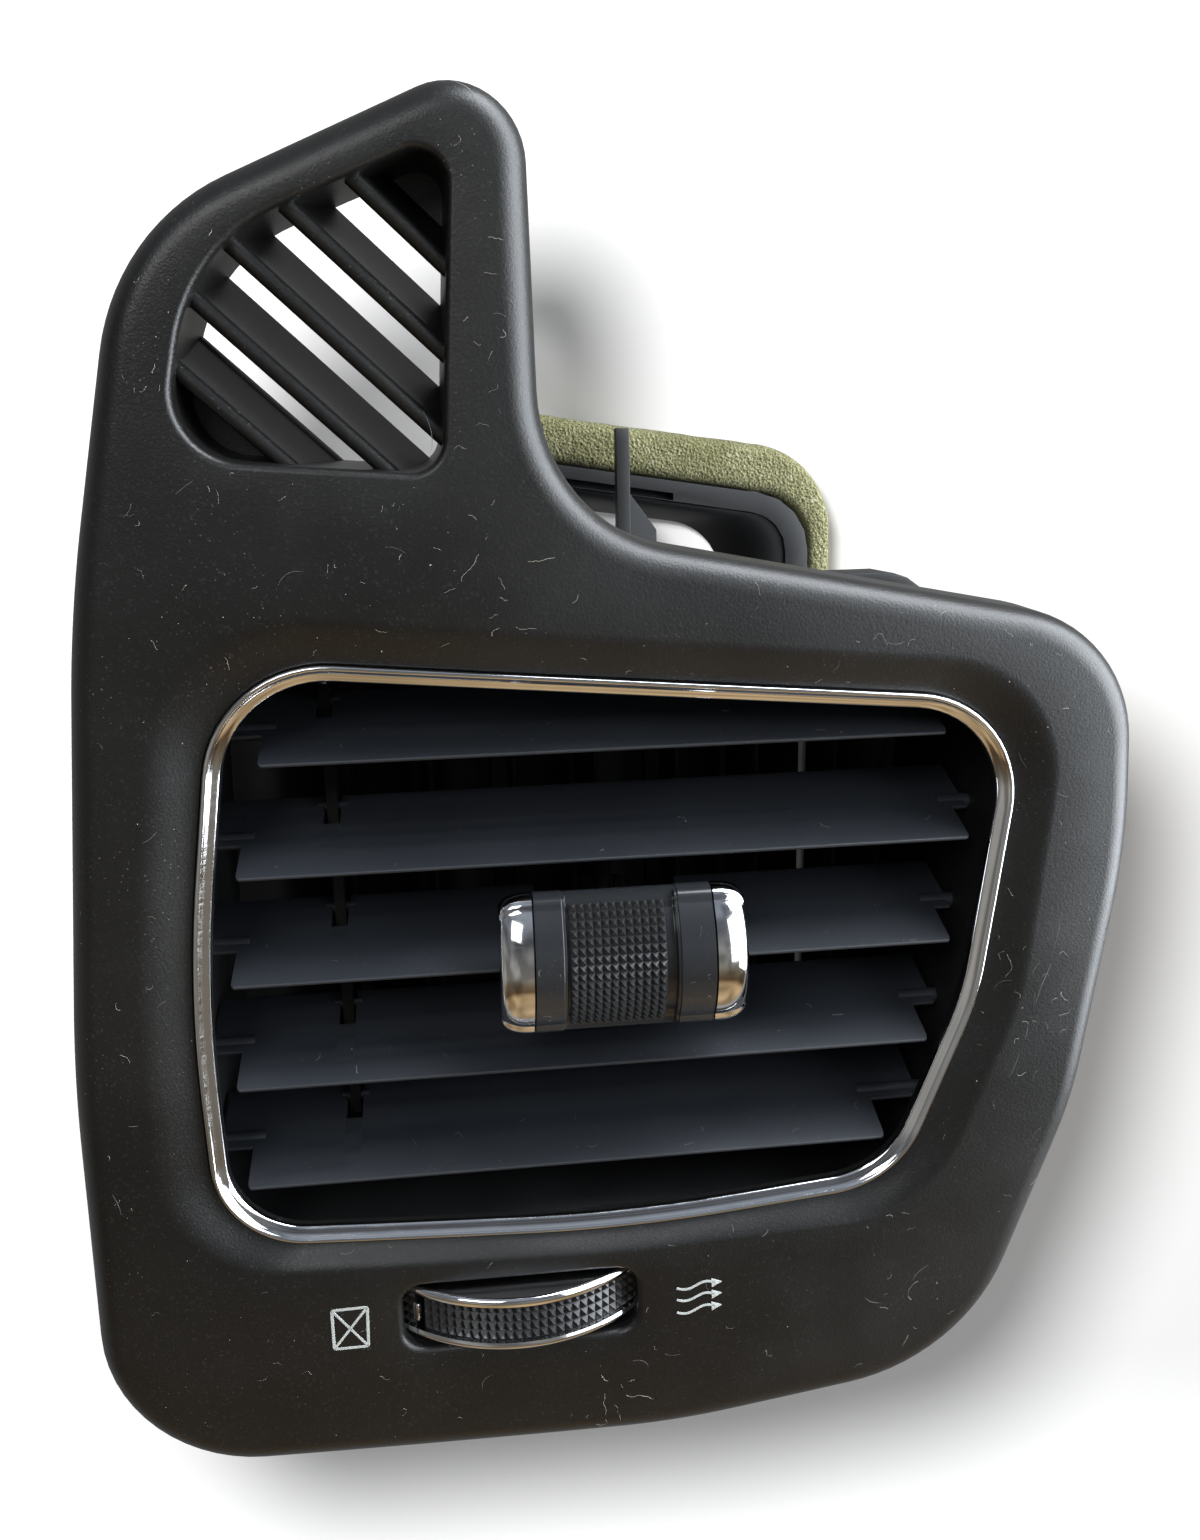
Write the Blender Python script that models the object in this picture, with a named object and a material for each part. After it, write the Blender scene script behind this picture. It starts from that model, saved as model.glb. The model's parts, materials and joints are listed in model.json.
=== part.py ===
"""Dashboard end vent with a side-window outlet, modelled piece by piece.

Lengths are in metres. X runs along the blades, Y into the dashboard and Z up. The sizes below are
counted from the middle of the bezel's face, and VENT, the empty that carries everything, moves that
point so that the frame's origin lies on the rear face of the lower fixing tab.
"""

import math

import bmesh
import bpy
from mathutils import Matrix, Vector
from mathutils.geometry import delaunay_2d_cdt

# Clearances
FIT_GAP = 0.0003
RUNNING_GAP = 0.0004

# Bezel: outlines are corner points with the radius that rounds each one
BEZEL_CORNERS = [
    (-0.0913, -0.1276, 0.027),
    (-0.0889, -0.0502, 0.300),
    (-0.0799, 0.0273, 0.250),
    (-0.0672, 0.0821, 0.034),
    (-0.0084, 0.1064, 0.011),
    (-0.0075, 0.0384, 0.025),
    (0.0907, 0.0187, 0.025),
    (0.0930, -0.0193, 0.120),
    (0.0865, -0.0677, 0.080),
    (0.0679, -0.1213, 0.037),
    (0.0116, -0.1286, 0.155),
]
BEZEL_WALL = 0.0024
BEZEL_EDGE_RADIUS = 0.0048
BEZEL_SKIRT_DEPTH = 0.0145
BEZEL_CROWN_RADIUS = 2.6
FACE_SPACING = 0.0160
FUNNEL_CORNERS = [
    (-0.0768, -0.0880, 0.021),
    (-0.0768, -0.0350, 0.250),
    (-0.0676, 0.0288, 0.024),
    (0.0798, 0.0140, 0.022),
    (0.0746, -0.0458, 0.060),
    (0.0590, -0.0872, 0.024),
    (0.0040, -0.0892, 0.300),
]
FUNNEL_DEPTH = 0.0028

# Main outlet and its trim ring
OUTLET_CORNERS = [
    (-0.0679, -0.0829, 0.016),
    (-0.0684, -0.0357, 0.235),
    (-0.0596, 0.0199, 0.020),
    (0.0733, 0.0077, 0.019),
    (0.0667, -0.0462, 0.057),
    (0.0532, -0.0815, 0.019),
    (0.0036, -0.0858, 0.300),
]
RING_WIDTH = 0.0027
RING_PROUD = 0.0010
REBATE_DEPTH = 0.0012
OUTLET_RIM_DEPTH = 0.0010

# Side-window outlet in the tower
DEMISTER_CORNERS = [
    (-0.0630, 0.0502, 0.0095),
    (-0.0562, 0.0791, 0.0262),
    (-0.0193, 0.0936, 0.0044),
    (-0.0225, 0.0467, 0.0052),
]
DEMISTER_FACE_CORNERS = [
    (-0.0645, 0.0490, 0.0104),
    (-0.0571, 0.0800, 0.0275),
    (-0.0182, 0.0952, 0.0053),
    (-0.0216, 0.0454, 0.0060),
]
DEMISTER_CHAMFER_DEPTH = 0.0016
DEMISTER_DEPTH = 0.0150
SLAT_COUNT = 5
SLAT_ANGLE = math.radians(43.5)
SLAT_PITCH = 0.0093
SLAT_FIRST_X = -0.0330
SLAT_FIRST_Z = 0.0881
SLAT_FRONT = 0.0045
SLAT_CHORD = 0.0105
SLAT_LEAN = 0.0047
SLAT_THICKNESS = 0.0017

# Thumbwheel slot, wheel and bracket
SLOT_CENTRE_X = -0.0163
SLOT_CENTRE_Z = -0.0990
SLOT_WIDTH = 0.0418
SLOT_HEIGHT = 0.0130
SLOT_RADIUS = 0.0038
SLOT_LIP = 0.0012
SLOT_RIM_DEPTH = 0.0026
WHEEL_RADIUS = 0.0310
WHEEL_PROUD = 0.0046
WHEEL_HEIGHT = 0.0104
WHEEL_CENTRE_Z = -0.0986
WHEEL_RIM_HEIGHT = 0.0016
WHEEL_RIM_WIDTH = 0.0030
WHEEL_GRIP_DEPTH = 0.0009
WHEEL_WEB_THICKNESS = 0.0024
WHEEL_HUB_RADIUS = 0.0062
WHEEL_KNURL_PITCH = 0.0025
WHEEL_KNURL_ROWS = 3
WHEEL_KNURL_ARC = math.radians(140)
WHEEL_TRAVEL = math.radians(74)
WHEEL_SIDES = 24
WHEEL_RIM_SIDES = 32
MARKER_WIDTH = 0.0012
MARKER_HEIGHT = 0.0034
AXLE_RADIUS = 0.0025
BRACKET_THICKNESS = 0.0020
BRACKET_DEPTH = 0.0160
BRACKET_SIDE_GAP = 0.0022

# Barrel behind the bezel
BARREL_CORNERS = [
    (-0.0700, -0.0855, 0.010),
    (-0.0665, 0.0193, 0.009),
    (0.0725, 0.0193, 0.009),
    (0.0605, -0.0855, 0.010),
]
BARREL_WALL = 0.0020
BARREL_LENGTH = 0.0510
EAR_THICKNESS = 0.0025
EAR_RADIUS = 0.0045
EAR_SETBACK = 0.0033
SCREW_RADIUS = 0.0015
SCREW_HEAD_RADIUS = 0.0034
SCREW_HEAD_HEIGHT = 0.0022
SCREW_SOCKET_RADIUS = 0.0014
SCREW_GRIP = 0.0050
SCREW_PLACES = [(-0.0450, 0.0300), (0.0806, -0.0060), (0.0400, -0.0960), (-0.0600, -0.0962)]

# Blades
BLADE_COUNT = 5
BLADE_PITCH = 0.0190
MIDDLE_BLADE_Z = -0.0333
BLADE_AXIS_Y = 0.0183
BLADE_REST_TILT = math.radians(20)
BLADE_FRONT = 0.0122
BLADE_REAR = 0.0113
BLADE_THICKNESS = 0.0028
BLADE_TAIL_THICKNESS = 0.0014
BLADE_FRONT_ENDS = [
    (-0.0545, 0.0600),
    (-0.0597, 0.0650),
    (-0.0622, 0.0625),
    (-0.0630, 0.0592),
    (-0.0628, 0.0518),
]
BLADE_SHOULDER = 0.0030
BLADE_END_GAP = 0.0010
PIN_RADIUS = 0.0015
BEARING_THICKNESS = 0.0040
BEARING_DEPTH = 0.0090

# Bars that tie the blades and the vanes
TIE_PIN_RADIUS = 0.0010
TIE_BAR_WIDTH = 0.0044
TIE_BAR_THICKNESS = 0.0020
BLADE_TIE_X = -0.0450
BLADE_TIE_ARM = 0.0085
TIE_NOTCH_WIDTH = 0.0060
VANE_TIE_Z = -0.0620
VANE_TIE_ARM = 0.0075

# Knob
KNOB_X = 0.0033
KNOB_WIDTH = 0.0415
KNOB_HALF_HEIGHT = 0.0124
KNOB_FRONT = 0.0230
KNOB_BACK = 0.0146
KNOB_FACE_RADIUS = 0.0160
KNOB_CORNER_RADIUS = 0.0018
KNOB_CAP_WIDTH = 0.0057
KNOB_CAP_ROUND = 0.0018
PAD_WIDTH = 0.0165
PAD_X = -0.0010
PAD_RECESS = 0.0012
PAD_HALF_ANGLE = math.radians(46)
PAD_COLUMNS = 9
PAD_ROWS = 12
SLIDER_WIDTH = 0.0240
SLIDER_WALL = 0.0014
FORK_REACH = 0.0155
FORK_SLOT = 0.0042
FORK_PRONG = 0.0021
FORK_SLOT_LENGTH = 0.0090
KNOB_TRAVEL = 0.0110

# Vanes
VANE_COUNT = 7
VANE_PITCH = 0.0155
VANE_AXIS_Y = 0.0470
VANE_HALF_CHORD = 0.0100
VANE_THICKNESS = 0.0018
VANE_END_GAP = 0.0020
HORN_REACH = 0.0200
HORN_RADIUS = 0.0012
HORN_LOWEST = -0.0072
HORN_HIGHEST = 0.0108
HORN_THICKNESS = 0.0020

# Duct with the shutter leaves
THROAT_CORNERS = [
    (-0.0505, -0.0810, 0.001),
    (-0.0505, 0.0130, 0.001),
    (0.0545, 0.0130, 0.001),
    (0.0545, -0.0810, 0.001),
]
DUCT_WALL = 0.0020
SOCKET_OVERLAP = 0.0060
SHOULDER_LENGTH = 0.0079
THROAT_LENGTH = 0.0185
LEAF_COUNT = 3
LEAF_PITCH = 0.0340
LEAF_AXIS_Y = 0.0785
LEAF_MIDDLE_X = 0.0020
LEAF_THICKNESS = 0.0024
LEAF_LIP = 0.0010
LEAF_OVERLAP = 0.0015
LEAF_END_GAP = 0.0009
LEAF_SHAFT_RADIUS = 0.0020
CRANK_RADIUS = 0.0090
CRANK_THICKNESS = 0.0022
CRANK_PIN_RADIUS = 0.0015
CRANK_REST = math.radians(-127)
LINK_THICKNESS = 0.0016
LINK_WIDTH = 0.0070
LINK_TOP_Z = -0.0907
POST_X = 0.0142
POST_Y = 0.0755
POST_WIDTH = 0.0027
POST_DEPTH = 0.0050
POST_TOP_Z = 0.0524
GUSSET_WIDTH = 0.0056
GUSSET_TOP_Z = 0.0392
GUSSET_SHOULDER_Z = 0.0316

# Inlet collar and its foam
COLLAR_CORNERS = [
    (-0.0550, -0.0855, 0.010),
    (-0.0550, 0.0210, 0.010),
    (-0.0160, 0.0210, 0.005),
    (-0.0160, 0.0480, 0.010),
    (0.0565, 0.0362, 0.013),
    (0.0565, -0.0855, 0.010),
]
WINDOW_CORNERS = [
    (-0.0120, 0.0170, 0.004),
    (-0.0120, 0.0430, 0.007),
    (0.0515, 0.0327, 0.009),
    (0.0515, 0.0170, 0.004),
]
COLLAR_FLANGE = 0.0024
COLLAR_DEPTH = 0.0150
COLLAR_WALL = 0.0020
COLLAR_SLOT = (0.0010, 0.0265, 0.0016)
COLLAR_SLOT_INSET = 0.0026
SEAL_CORNERS = [
    (-0.0612, -0.0917, 0.014),
    (-0.0612, 0.0275, 0.014),
    (-0.0225, 0.0275, 0.004),
    (-0.0225, 0.0590, 0.017),
    (0.0622, 0.0459, 0.019),
    (0.0622, -0.0917, 0.014),
]
SEAL_DEPTH = 0.0160

# Fixing tabs and clips on the back of the bezel
LOWER_TAB = (0.0480, -0.1110)
UPPER_TAB = (-0.0625, 0.0365)
TAB_WIDTH = 0.0200
TAB_HEIGHT = 0.0110
TAB_THICKNESS = 0.0024
TAB_BACK = 0.0160
TAB_HOLE_RADIUS = 0.0024
CLIP_PLACES = [(0.0815, -0.0350), (-0.0143, 0.0700), (-0.0797, -0.0600)]
CLIP_RIB_HEIGHT = 0.0130
CLIP_RIB_THICKNESS = 0.0020
CLIP_RIB_BACK = 0.0200
CLIP_SHEET = 0.0006
CLIP_WIDTH = 0.0085
CLIP_BARB = 0.0018

# Finishes: colour, roughness and metallic value of each material
FINISHES = {
    "grained_charcoal": ((0.027, 0.029, 0.031), 0.55, 0.0),
    "satin_black": ((0.016, 0.018, 0.021), 0.45, 0.0),
    "plain_black": ((0.012, 0.012, 0.013), 0.60, 0.0),
    "gloss_black": ((0.010, 0.010, 0.011), 0.18, 0.0),
    "soft_black": ((0.014, 0.014, 0.015), 0.70, 0.0),
    "bright_chrome": ((0.78, 0.78, 0.79), 0.08, 1.0),
    "olive_foam": ((0.150, 0.140, 0.055), 0.95, 0.0),
    "zinc_steel": ((0.55, 0.55, 0.54), 0.35, 1.0),
}

CORNER_STEP = math.radians(14)
RIM_STEPS = 4
FRAME_ORIGIN = Vector((LOWER_TAB[0], TAB_BACK, LOWER_TAB[1]))


# Scene and materials


def clear_scene():
    for item in list(bpy.data.objects):
        bpy.data.objects.remove(item, do_unlink=True)


def finish(name):
    """The material of that name, made once."""
    if name in bpy.data.materials:
        return bpy.data.materials[name]
    colour, roughness, metallic = FINISHES[name]
    material = bpy.data.materials.new(name)
    material.use_nodes = True
    shader = material.node_tree.nodes["Principled BSDF"]
    shader.inputs["Base Color"].default_value = (*colour, 1.0)
    shader.inputs["Roughness"].default_value = roughness
    shader.inputs["Metallic"].default_value = metallic
    material.diffuse_color = (*colour, 1.0)
    return material


def add_empty(name, place, parent):
    """An empty at a place of the vent, turned as its parent."""
    empty = bpy.data.objects.new(name, None)
    bpy.context.collection.objects.link(empty)
    empty.location = place
    empty.parent = parent
    return empty


def add_object(name, mesh_data, parent=None, place=(0, 0, 0)):
    part = bpy.data.objects.new(name, mesh_data)
    bpy.context.collection.objects.link(part)
    part.parent = parent
    part.location = place
    return part


def to_mesh(name, shape):
    """A mesh from a bmesh, with its faces turned outwards."""
    bmesh.ops.recalc_face_normals(shape, faces=shape.faces)
    mesh_data = bpy.data.meshes.new(name)
    shape.to_mesh(mesh_data)
    shape.free()
    return mesh_data


def dress(part, look, smooth_angle=35):
    """Gives a piece its material and its shading."""
    part.data.materials.clear()
    part.data.materials.append(finish(look))
    part.data.shade_smooth()
    part.data.set_sharp_from_angle(angle=math.radians(smooth_angle))
    return part


# Outlines: closed lists of (x, z) points, clockwise or not, in the plane of the bezel


def corner_arc(before, corner, after, radius, steps):
    """Points of the arc that rounds one corner."""
    corner = Vector(corner)
    to_before = (Vector(before) - corner).normalized()
    to_after = (Vector(after) - corner).normalized()
    half_angle = to_before.angle(to_after) / 2
    reach = radius / math.tan(half_angle)
    centre = corner + (to_before + to_after).normalized() * (radius / math.sin(half_angle))
    first = corner + to_before * reach - centre
    last = corner + to_after * reach - centre
    turn = first.angle_signed(last)
    if steps is None:
        steps = max(1, math.ceil(abs(turn) / CORNER_STEP))
    points = []
    for step in range(steps + 1):
        points.append(centre + Matrix.Rotation(-turn * step / steps, 2) @ first)
    return points


def outline(corners, steps=None):
    """Closed outline with each corner rounded by its own radius."""
    points = []
    count = len(corners)
    for index, (x, z, radius) in enumerate(corners):
        before = corners[index - 1][:2]
        after = corners[(index + 1) % count][:2]
        points += corner_arc(before, (x, z), after, radius, steps)
    return points


def signed_area(points):
    total = 0.0
    for index, point in enumerate(points):
        other = points[(index + 1) % len(points)]
        total += point.x * other.y - other.x * point.y
    return total / 2


def grown(points, distance):
    """The outline moved outwards by a distance, point by point."""
    if distance == 0:
        return [point.copy() for point in points]
    side = 1 if signed_area(points) > 0 else -1
    result = []
    count = len(points)
    for index, point in enumerate(points):
        back = (point - points[index - 1]).normalized()
        ahead = (points[(index + 1) % count] - point).normalized()
        normal_back = Vector((back.y, -back.x)) * side
        normal_ahead = Vector((ahead.y, -ahead.x)) * side
        middle = (normal_back + normal_ahead).normalized()
        stretch = 1 / max(middle.dot(normal_ahead), 0.5)
        result.append(point + middle * distance * stretch)
    return result


def inside(point, points):
    """True where the point lies within the outline."""
    within = False
    for index, first in enumerate(points):
        second = points[index - 1]
        if (first.y > point.y) != (second.y > point.y):
            share = (point.y - first.y) / (second.y - first.y)
            if point.x < first.x + share * (second.x - first.x):
                within = not within
    return within


def nearest_on(point, points):
    """Nearest point of the outline."""
    nearest = points[0]
    for index, first in enumerate(points):
        edge = points[index - 1] - first
        share = max(0.0, min(1.0, (point - first).dot(edge) / edge.length_squared))
        candidate = first + edge * share
        if (point - candidate).length < (point - nearest).length:
            nearest = candidate
    return nearest


def distance_to(point, points):
    return (point - nearest_on(point, points)).length


def crown(x, z):
    """How far the face falls back from its middle line."""
    return x * x / (2 * BEZEL_CROWN_RADIUS)


# Solids from outlines


def bridge(shape, first, second):
    """Faces between two rings of vertices of the same count."""
    count = len(first)
    for index in range(count):
        other = (index + 1) % count
        shape.faces.new((first[index], first[other], second[other], second[index]))


def ring_vertices(shape, points, depth, crowned=False):
    """A ring of vertices at one depth, or at that depth behind the crowned face."""
    ring = []
    for point in points:
        lift = crown(point.x, point.y) if crowned else 0.0
        ring.append(shape.verts.new((point.x, depth + lift, point.y)))
    return ring


def swept_ring(name, points, profile, crowned=False):
    """Closed band round an outline; its section is given as (growth, depth) points."""
    shape = bmesh.new()
    rings = [ring_vertices(shape, grown(points, growth), depth, crowned) for growth, depth in profile]
    for index, ring in enumerate(rings):
        bridge(shape, rings[index - 1], ring)
    return to_mesh(name, shape)


def lofted_shell(name, loops):
    """Closed band through rings of points, each given with its depth."""
    shape = bmesh.new()
    rings = [ring_vertices(shape, points, depth) for points, depth in loops]
    for index, ring in enumerate(rings):
        bridge(shape, rings[index - 1], ring)
    return to_mesh(name, shape)


def slab(name, points, front, back):
    """Flat piece with the outline's shape between two depths."""
    shape = bmesh.new()
    near = ring_vertices(shape, points, front)
    far = ring_vertices(shape, points, back)
    bridge(shape, near, far)
    shape.faces.new(near)
    shape.faces.new(list(reversed(far)))
    return to_mesh(name, shape)


def prism(name, points, start, end, axis):
    """Straight piece with the section's points, from start to end along X, Y or Z."""
    placing = {
        "X": lambda a, b, along: (along, a, b),
        "Y": lambda a, b, along: (a, along, b),
        "Z": lambda a, b, along: (a, b, along),
    }[axis]
    shape = bmesh.new()
    near = [shape.verts.new(placing(a, b, start)) for a, b in points]
    far = [shape.verts.new(placing(a, b, end)) for a, b in points]
    bridge(shape, near, far)
    shape.faces.new(near)
    shape.faces.new(list(reversed(far)))
    return to_mesh(name, shape)


def box(name, low, high):
    """Box between two opposite corners."""
    section = [(low[0], low[1]), (high[0], low[1]), (high[0], high[1]), (low[0], high[1])]
    return prism(name, section, low[2], high[2], "Z")


def circle(radius, count, centre=(0.0, 0.0)):
    """Points of a circle."""
    points = []
    for step in range(count):
        angle = 2 * math.pi * (step + 0.5) / count
        points.append((centre[0] + radius * math.cos(angle), centre[1] + radius * math.sin(angle)))
    return points


def rod(name, radius, start, end, axis, centre, count=8):
    """Round bar from start to end along an axis, centred on a point of the other two."""
    return prism(name, circle(radius, count, centre), start, end, axis)


def drill(radius, start, end, axis, centre):
    """Cutter for a round hole."""
    return rod("hole", radius, start, end, axis, centre)


def turned(name, profile, count, centre=(0.0, 0.0)):
    """Ring turned about a vertical axis; its closed section is given as (radius, z) points."""
    shape = bmesh.new()
    rings = []
    for radius, z in profile:
        ring = [shape.verts.new((x, y, z)) for x, y in circle(radius, count, centre)]
        rings.append(ring)
    for index, ring in enumerate(rings):
        bridge(shape, rings[index - 1], ring)
    return to_mesh(name, shape)


def joined(base, extras, operation="UNION"):
    """The base mesh with the other meshes joined to it or cut out of it."""
    body = bpy.data.objects.new("body_for_cut", base)
    bpy.context.collection.objects.link(body)
    helpers = []
    for extra in extras:
        helper = bpy.data.objects.new("tool_for_cut", extra)
        bpy.context.collection.objects.link(helper)
        helpers.append(helper)
        modifier = body.modifiers.new("cut", "BOOLEAN")
        modifier.operation = operation
        modifier.solver = "EXACT"
        modifier.object = helper
    bpy.context.view_layer.update()
    evaluated = body.evaluated_get(bpy.context.evaluated_depsgraph_get())
    result = bpy.data.meshes.new_from_object(evaluated)
    result.name = base.name
    for helper in helpers + [body]:
        bpy.data.objects.remove(helper, do_unlink=True)
    return result


def cut(base, extras):
    return joined(base, extras, "DIFFERENCE")


# Bezel


def edge_roll(inset_radius, depth, steps):
    """Growth and depth of points round the rolled edge, from the face to the skirt."""
    points = []
    for step in range(steps + 1):
        angle = math.pi / 2 * step / steps
        growth = -(BEZEL_EDGE_RADIUS - inset_radius * math.sin(angle))
        points.append((growth, depth + inset_radius * (1 - math.cos(angle))))
    return points


def between(first, second, share):
    """Outline part of the way from one outline to another."""
    return [a.lerp(b, share) for a, b in zip(first, second)]


def grown_loops(points, section):
    """Loops of one outline: each point of the section gives a growth and a depth."""
    return [(grown(points, growth), depth) for growth, depth in section]


def bezel_rims():
    """Loops of each rim with their depths, from the face to the back of the face."""
    outer = edge_roll(BEZEL_EDGE_RADIUS, 0.0, 4)
    inner = edge_roll(BEZEL_EDGE_RADIUS - BEZEL_WALL, BEZEL_WALL, 2)
    skirt = [(0.0, BEZEL_SKIRT_DEPTH), (-BEZEL_WALL * 0.8, BEZEL_SKIRT_DEPTH)]
    edge = outer + skirt + list(reversed(inner))
    shelf = FUNNEL_DEPTH + REBATE_DEPTH
    rim_back = shelf + OUTLET_RIM_DEPTH
    crest = outline(FUNNEL_CORNERS, RIM_STEPS)
    outlet = outline(OUTLET_CORNERS, RIM_STEPS)
    funnel = [
        (crest, 0.0),
        (between(crest, outlet, 0.28), FUNNEL_DEPTH * 0.16),
        (between(crest, outlet, 0.70), FUNNEL_DEPTH * 0.72),
        (grown(outlet, FIT_GAP), FUNNEL_DEPTH),
        (grown(outlet, FIT_GAP), shelf),
        (grown(outlet, -RING_WIDTH), shelf),
        (grown(outlet, -RING_WIDTH), rim_back),
        (between(crest, outlet, 0.80), rim_back),
        (between(crest, outlet, 0.28), BEZEL_WALL + FUNNEL_DEPTH * 0.30),
        (crest, BEZEL_WALL),
    ]
    slot = [
        (SLOT_LIP, 0.0),
        (SLOT_LIP * 0.3, SLOT_LIP * 0.3),
        (0.0, SLOT_LIP),
        (0.0, SLOT_RIM_DEPTH),
        (SLOT_LIP, SLOT_RIM_DEPTH),
        (SLOT_LIP, BEZEL_WALL),
    ]
    face = outline(DEMISTER_FACE_CORNERS, 5)
    mouth = outline(DEMISTER_CORNERS, 5)
    wall_back = BEZEL_WALL + DEMISTER_CHAMFER_DEPTH
    tower = [
        (face, 0.0),
        (between(face, mouth, 0.7), DEMISTER_CHAMFER_DEPTH * 0.35),
        (mouth, DEMISTER_CHAMFER_DEPTH),
        (grown(mouth, -0.0008), DEMISTER_DEPTH),
        (grown(mouth, BEZEL_WALL * 0.5), DEMISTER_DEPTH),
        (grown(mouth, BEZEL_WALL * 0.6), wall_back),
        (face, BEZEL_WALL),
    ]
    return {
        "edge": grown_loops(outline(BEZEL_CORNERS), edge),
        "funnel": funnel,
        "tower": tower,
        "slot": grown_loops(slot_outline(), slot),
    }


def slot_outline():
    half_width = SLOT_WIDTH / 2
    half_height = SLOT_HEIGHT / 2
    corners = []
    for x, z in ((-1, -1), (-1, 1), (1, 1), (1, -1)):
        corners.append((SLOT_CENTRE_X + x * half_width, SLOT_CENTRE_Z + z * half_height, SLOT_RADIUS))
    return outline(corners, 3)


def face_points(loops, spacing):
    """Points spread over the face between its rims, in staggered rows."""
    edge = loops["edge"]
    low_x = min(point.x for point in edge)
    high_x = max(point.x for point in edge)
    low_z = min(point.y for point in edge)
    high_z = max(point.y for point in edge)
    points = []
    rows = int((high_z - low_z) / spacing)
    columns = int((high_x - low_x) / spacing)
    for row in range(1, rows + 1):
        for column in range(columns + 1):
            x = low_x + (column + 0.5 * (row % 2)) * spacing
            point = Vector((x, low_z + row * spacing))
            if not inside(point, edge):
                continue
            if any(inside(point, loops[name]) for name in ("funnel", "tower", "slot")):
                continue
            if min(distance_to(point, loop) for loop in loops.values()) > spacing * 0.45:
                points.append(point)
    return points


def bezel_shell():
    """Moulded skin: one triangulated face, its copy behind, and a rim round each opening."""
    rims = bezel_rims()
    shape = bmesh.new()
    loops = {}
    for name, rim in rims.items():
        loops[name] = rim[0][0]
    flat = []
    edges = []
    spans = {}
    for name, loop in loops.items():
        start = len(flat)
        spans[name] = (start, len(loop))
        flat += loop
        edges += [(start + index, start + (index + 1) % len(loop)) for index in range(len(loop))]
    flat += face_points(loops, FACE_SPACING)
    points, _, faces, _, _, _ = delaunay_2d_cdt(flat, edges, [], 0, 1e-9)
    front = [shape.verts.new((p.x, crown(p.x, p.y), p.y)) for p in points]
    back = [shape.verts.new((p.x, crown(p.x, p.y) + BEZEL_WALL, p.y)) for p in points]
    for face in faces:
        middle = sum((points[index] for index in face), Vector((0, 0))) / len(face)
        if not inside(middle, loops["edge"]):
            continue
        if any(inside(middle, loops[name]) for name in ("funnel", "tower", "slot")):
            continue
        shape.faces.new([front[index] for index in face])
        shape.faces.new([back[index] for index in reversed(face)])
    for name, rim in rims.items():
        start, count = spans[name]
        previous = front[start:start + count]
        for loop, depth in rim[1:-1]:
            ring = ring_vertices(shape, loop, depth, True)
            bridge(shape, previous, ring)
            previous = ring
        bridge(shape, previous, back[start:start + count])
    for vertex in [vertex for vertex in shape.verts if not vertex.link_faces]:
        shape.verts.remove(vertex)
    return to_mesh("front_bezel", shape)


def slat(index):
    """One slanted slat of the side-window outlet, long enough to reach into the walls."""
    along = Vector((math.cos(SLAT_ANGLE), -math.sin(SLAT_ANGLE)))
    across = Vector((math.sin(SLAT_ANGLE), math.cos(SLAT_ANGLE)))
    start = Vector((SLAT_FIRST_X, SLAT_FIRST_Z)) - across * SLAT_PITCH * index
    half = SLAT_THICKNESS / 2
    steps = 3
    section = []
    for step in range(steps + 1):
        share = step / steps
        lean = SLAT_LEAN * share ** 1.25
        section.append((lean - half * (1 - 0.3 * share), SLAT_FRONT + SLAT_CHORD * share))
    for step in reversed(range(steps + 1)):
        share = step / steps
        lean = SLAT_LEAN * share ** 1.25
        section.append((lean + half * (1 - 0.3 * share), SLAT_FRONT + SLAT_CHORD * share))
    reach = SLAT_PITCH * SLAT_COUNT
    shape = bmesh.new()
    rings = []
    for distance in (-reach, reach):
        ring = []
        for offset, depth in section:
            point = start + across * offset + along * distance
            ring.append(shape.verts.new((point.x, depth, point.y)))
        rings.append(ring)
    bridge(shape, rings[0], rings[1])
    shape.faces.new(rings[0])
    shape.faces.new(list(reversed(rings[1])))
    return to_mesh("slat", shape)


def slats():
    """All slats, trimmed to the inside of the opening's wall."""
    room = slab("slat_room", grown(outline(DEMISTER_CORNERS, 5), BEZEL_WALL * 0.25), 0.003, DEMISTER_DEPTH)
    return [joined(slat(index), [room.copy()], "INTERSECT") for index in range(SLAT_COUNT)]


def screw_boss(place):
    """Round boss on the back of the bezel; its blind hole is cut later."""
    front = BEZEL_WALL * 0.5 + crown(*place)
    return rod("boss", EAR_RADIUS * 0.85, front, ear_front() - FIT_GAP, "Y", place)


def ear_front():
    """Depth of the front faces of the barrel's ears."""
    return barrel_front() + EAR_SETBACK


def barrel_front():
    """Depth at which the barrel stands behind the rim of the outlet."""
    return FUNNEL_DEPTH + REBATE_DEPTH + OUTLET_RIM_DEPTH + crown(BARREL_CORNERS[2][0], 0) + FIT_GAP


def fixing_tab(place):
    """Tab that stands on two ribs behind the bezel."""
    x, z = place
    front = BEZEL_WALL * 0.5 + crown(x, z)
    plate = box(
        "tab",
        (x - TAB_WIDTH / 2, TAB_BACK - TAB_THICKNESS, z - TAB_HEIGHT / 2),
        (x + TAB_WIDTH / 2, TAB_BACK, z + TAB_HEIGHT / 2),
    )
    pieces = [plate]
    for side in (-1, 1):
        rib_x = x + side * (TAB_WIDTH - TAB_THICKNESS) / 2
        pieces.append(
            box(
                "rib",
                (rib_x - TAB_THICKNESS / 2, front, z - TAB_HEIGHT / 2),
                (rib_x + TAB_THICKNESS / 2, TAB_BACK - TAB_THICKNESS / 2, z + TAB_HEIGHT / 2),
            )
        )
    return pieces


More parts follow.
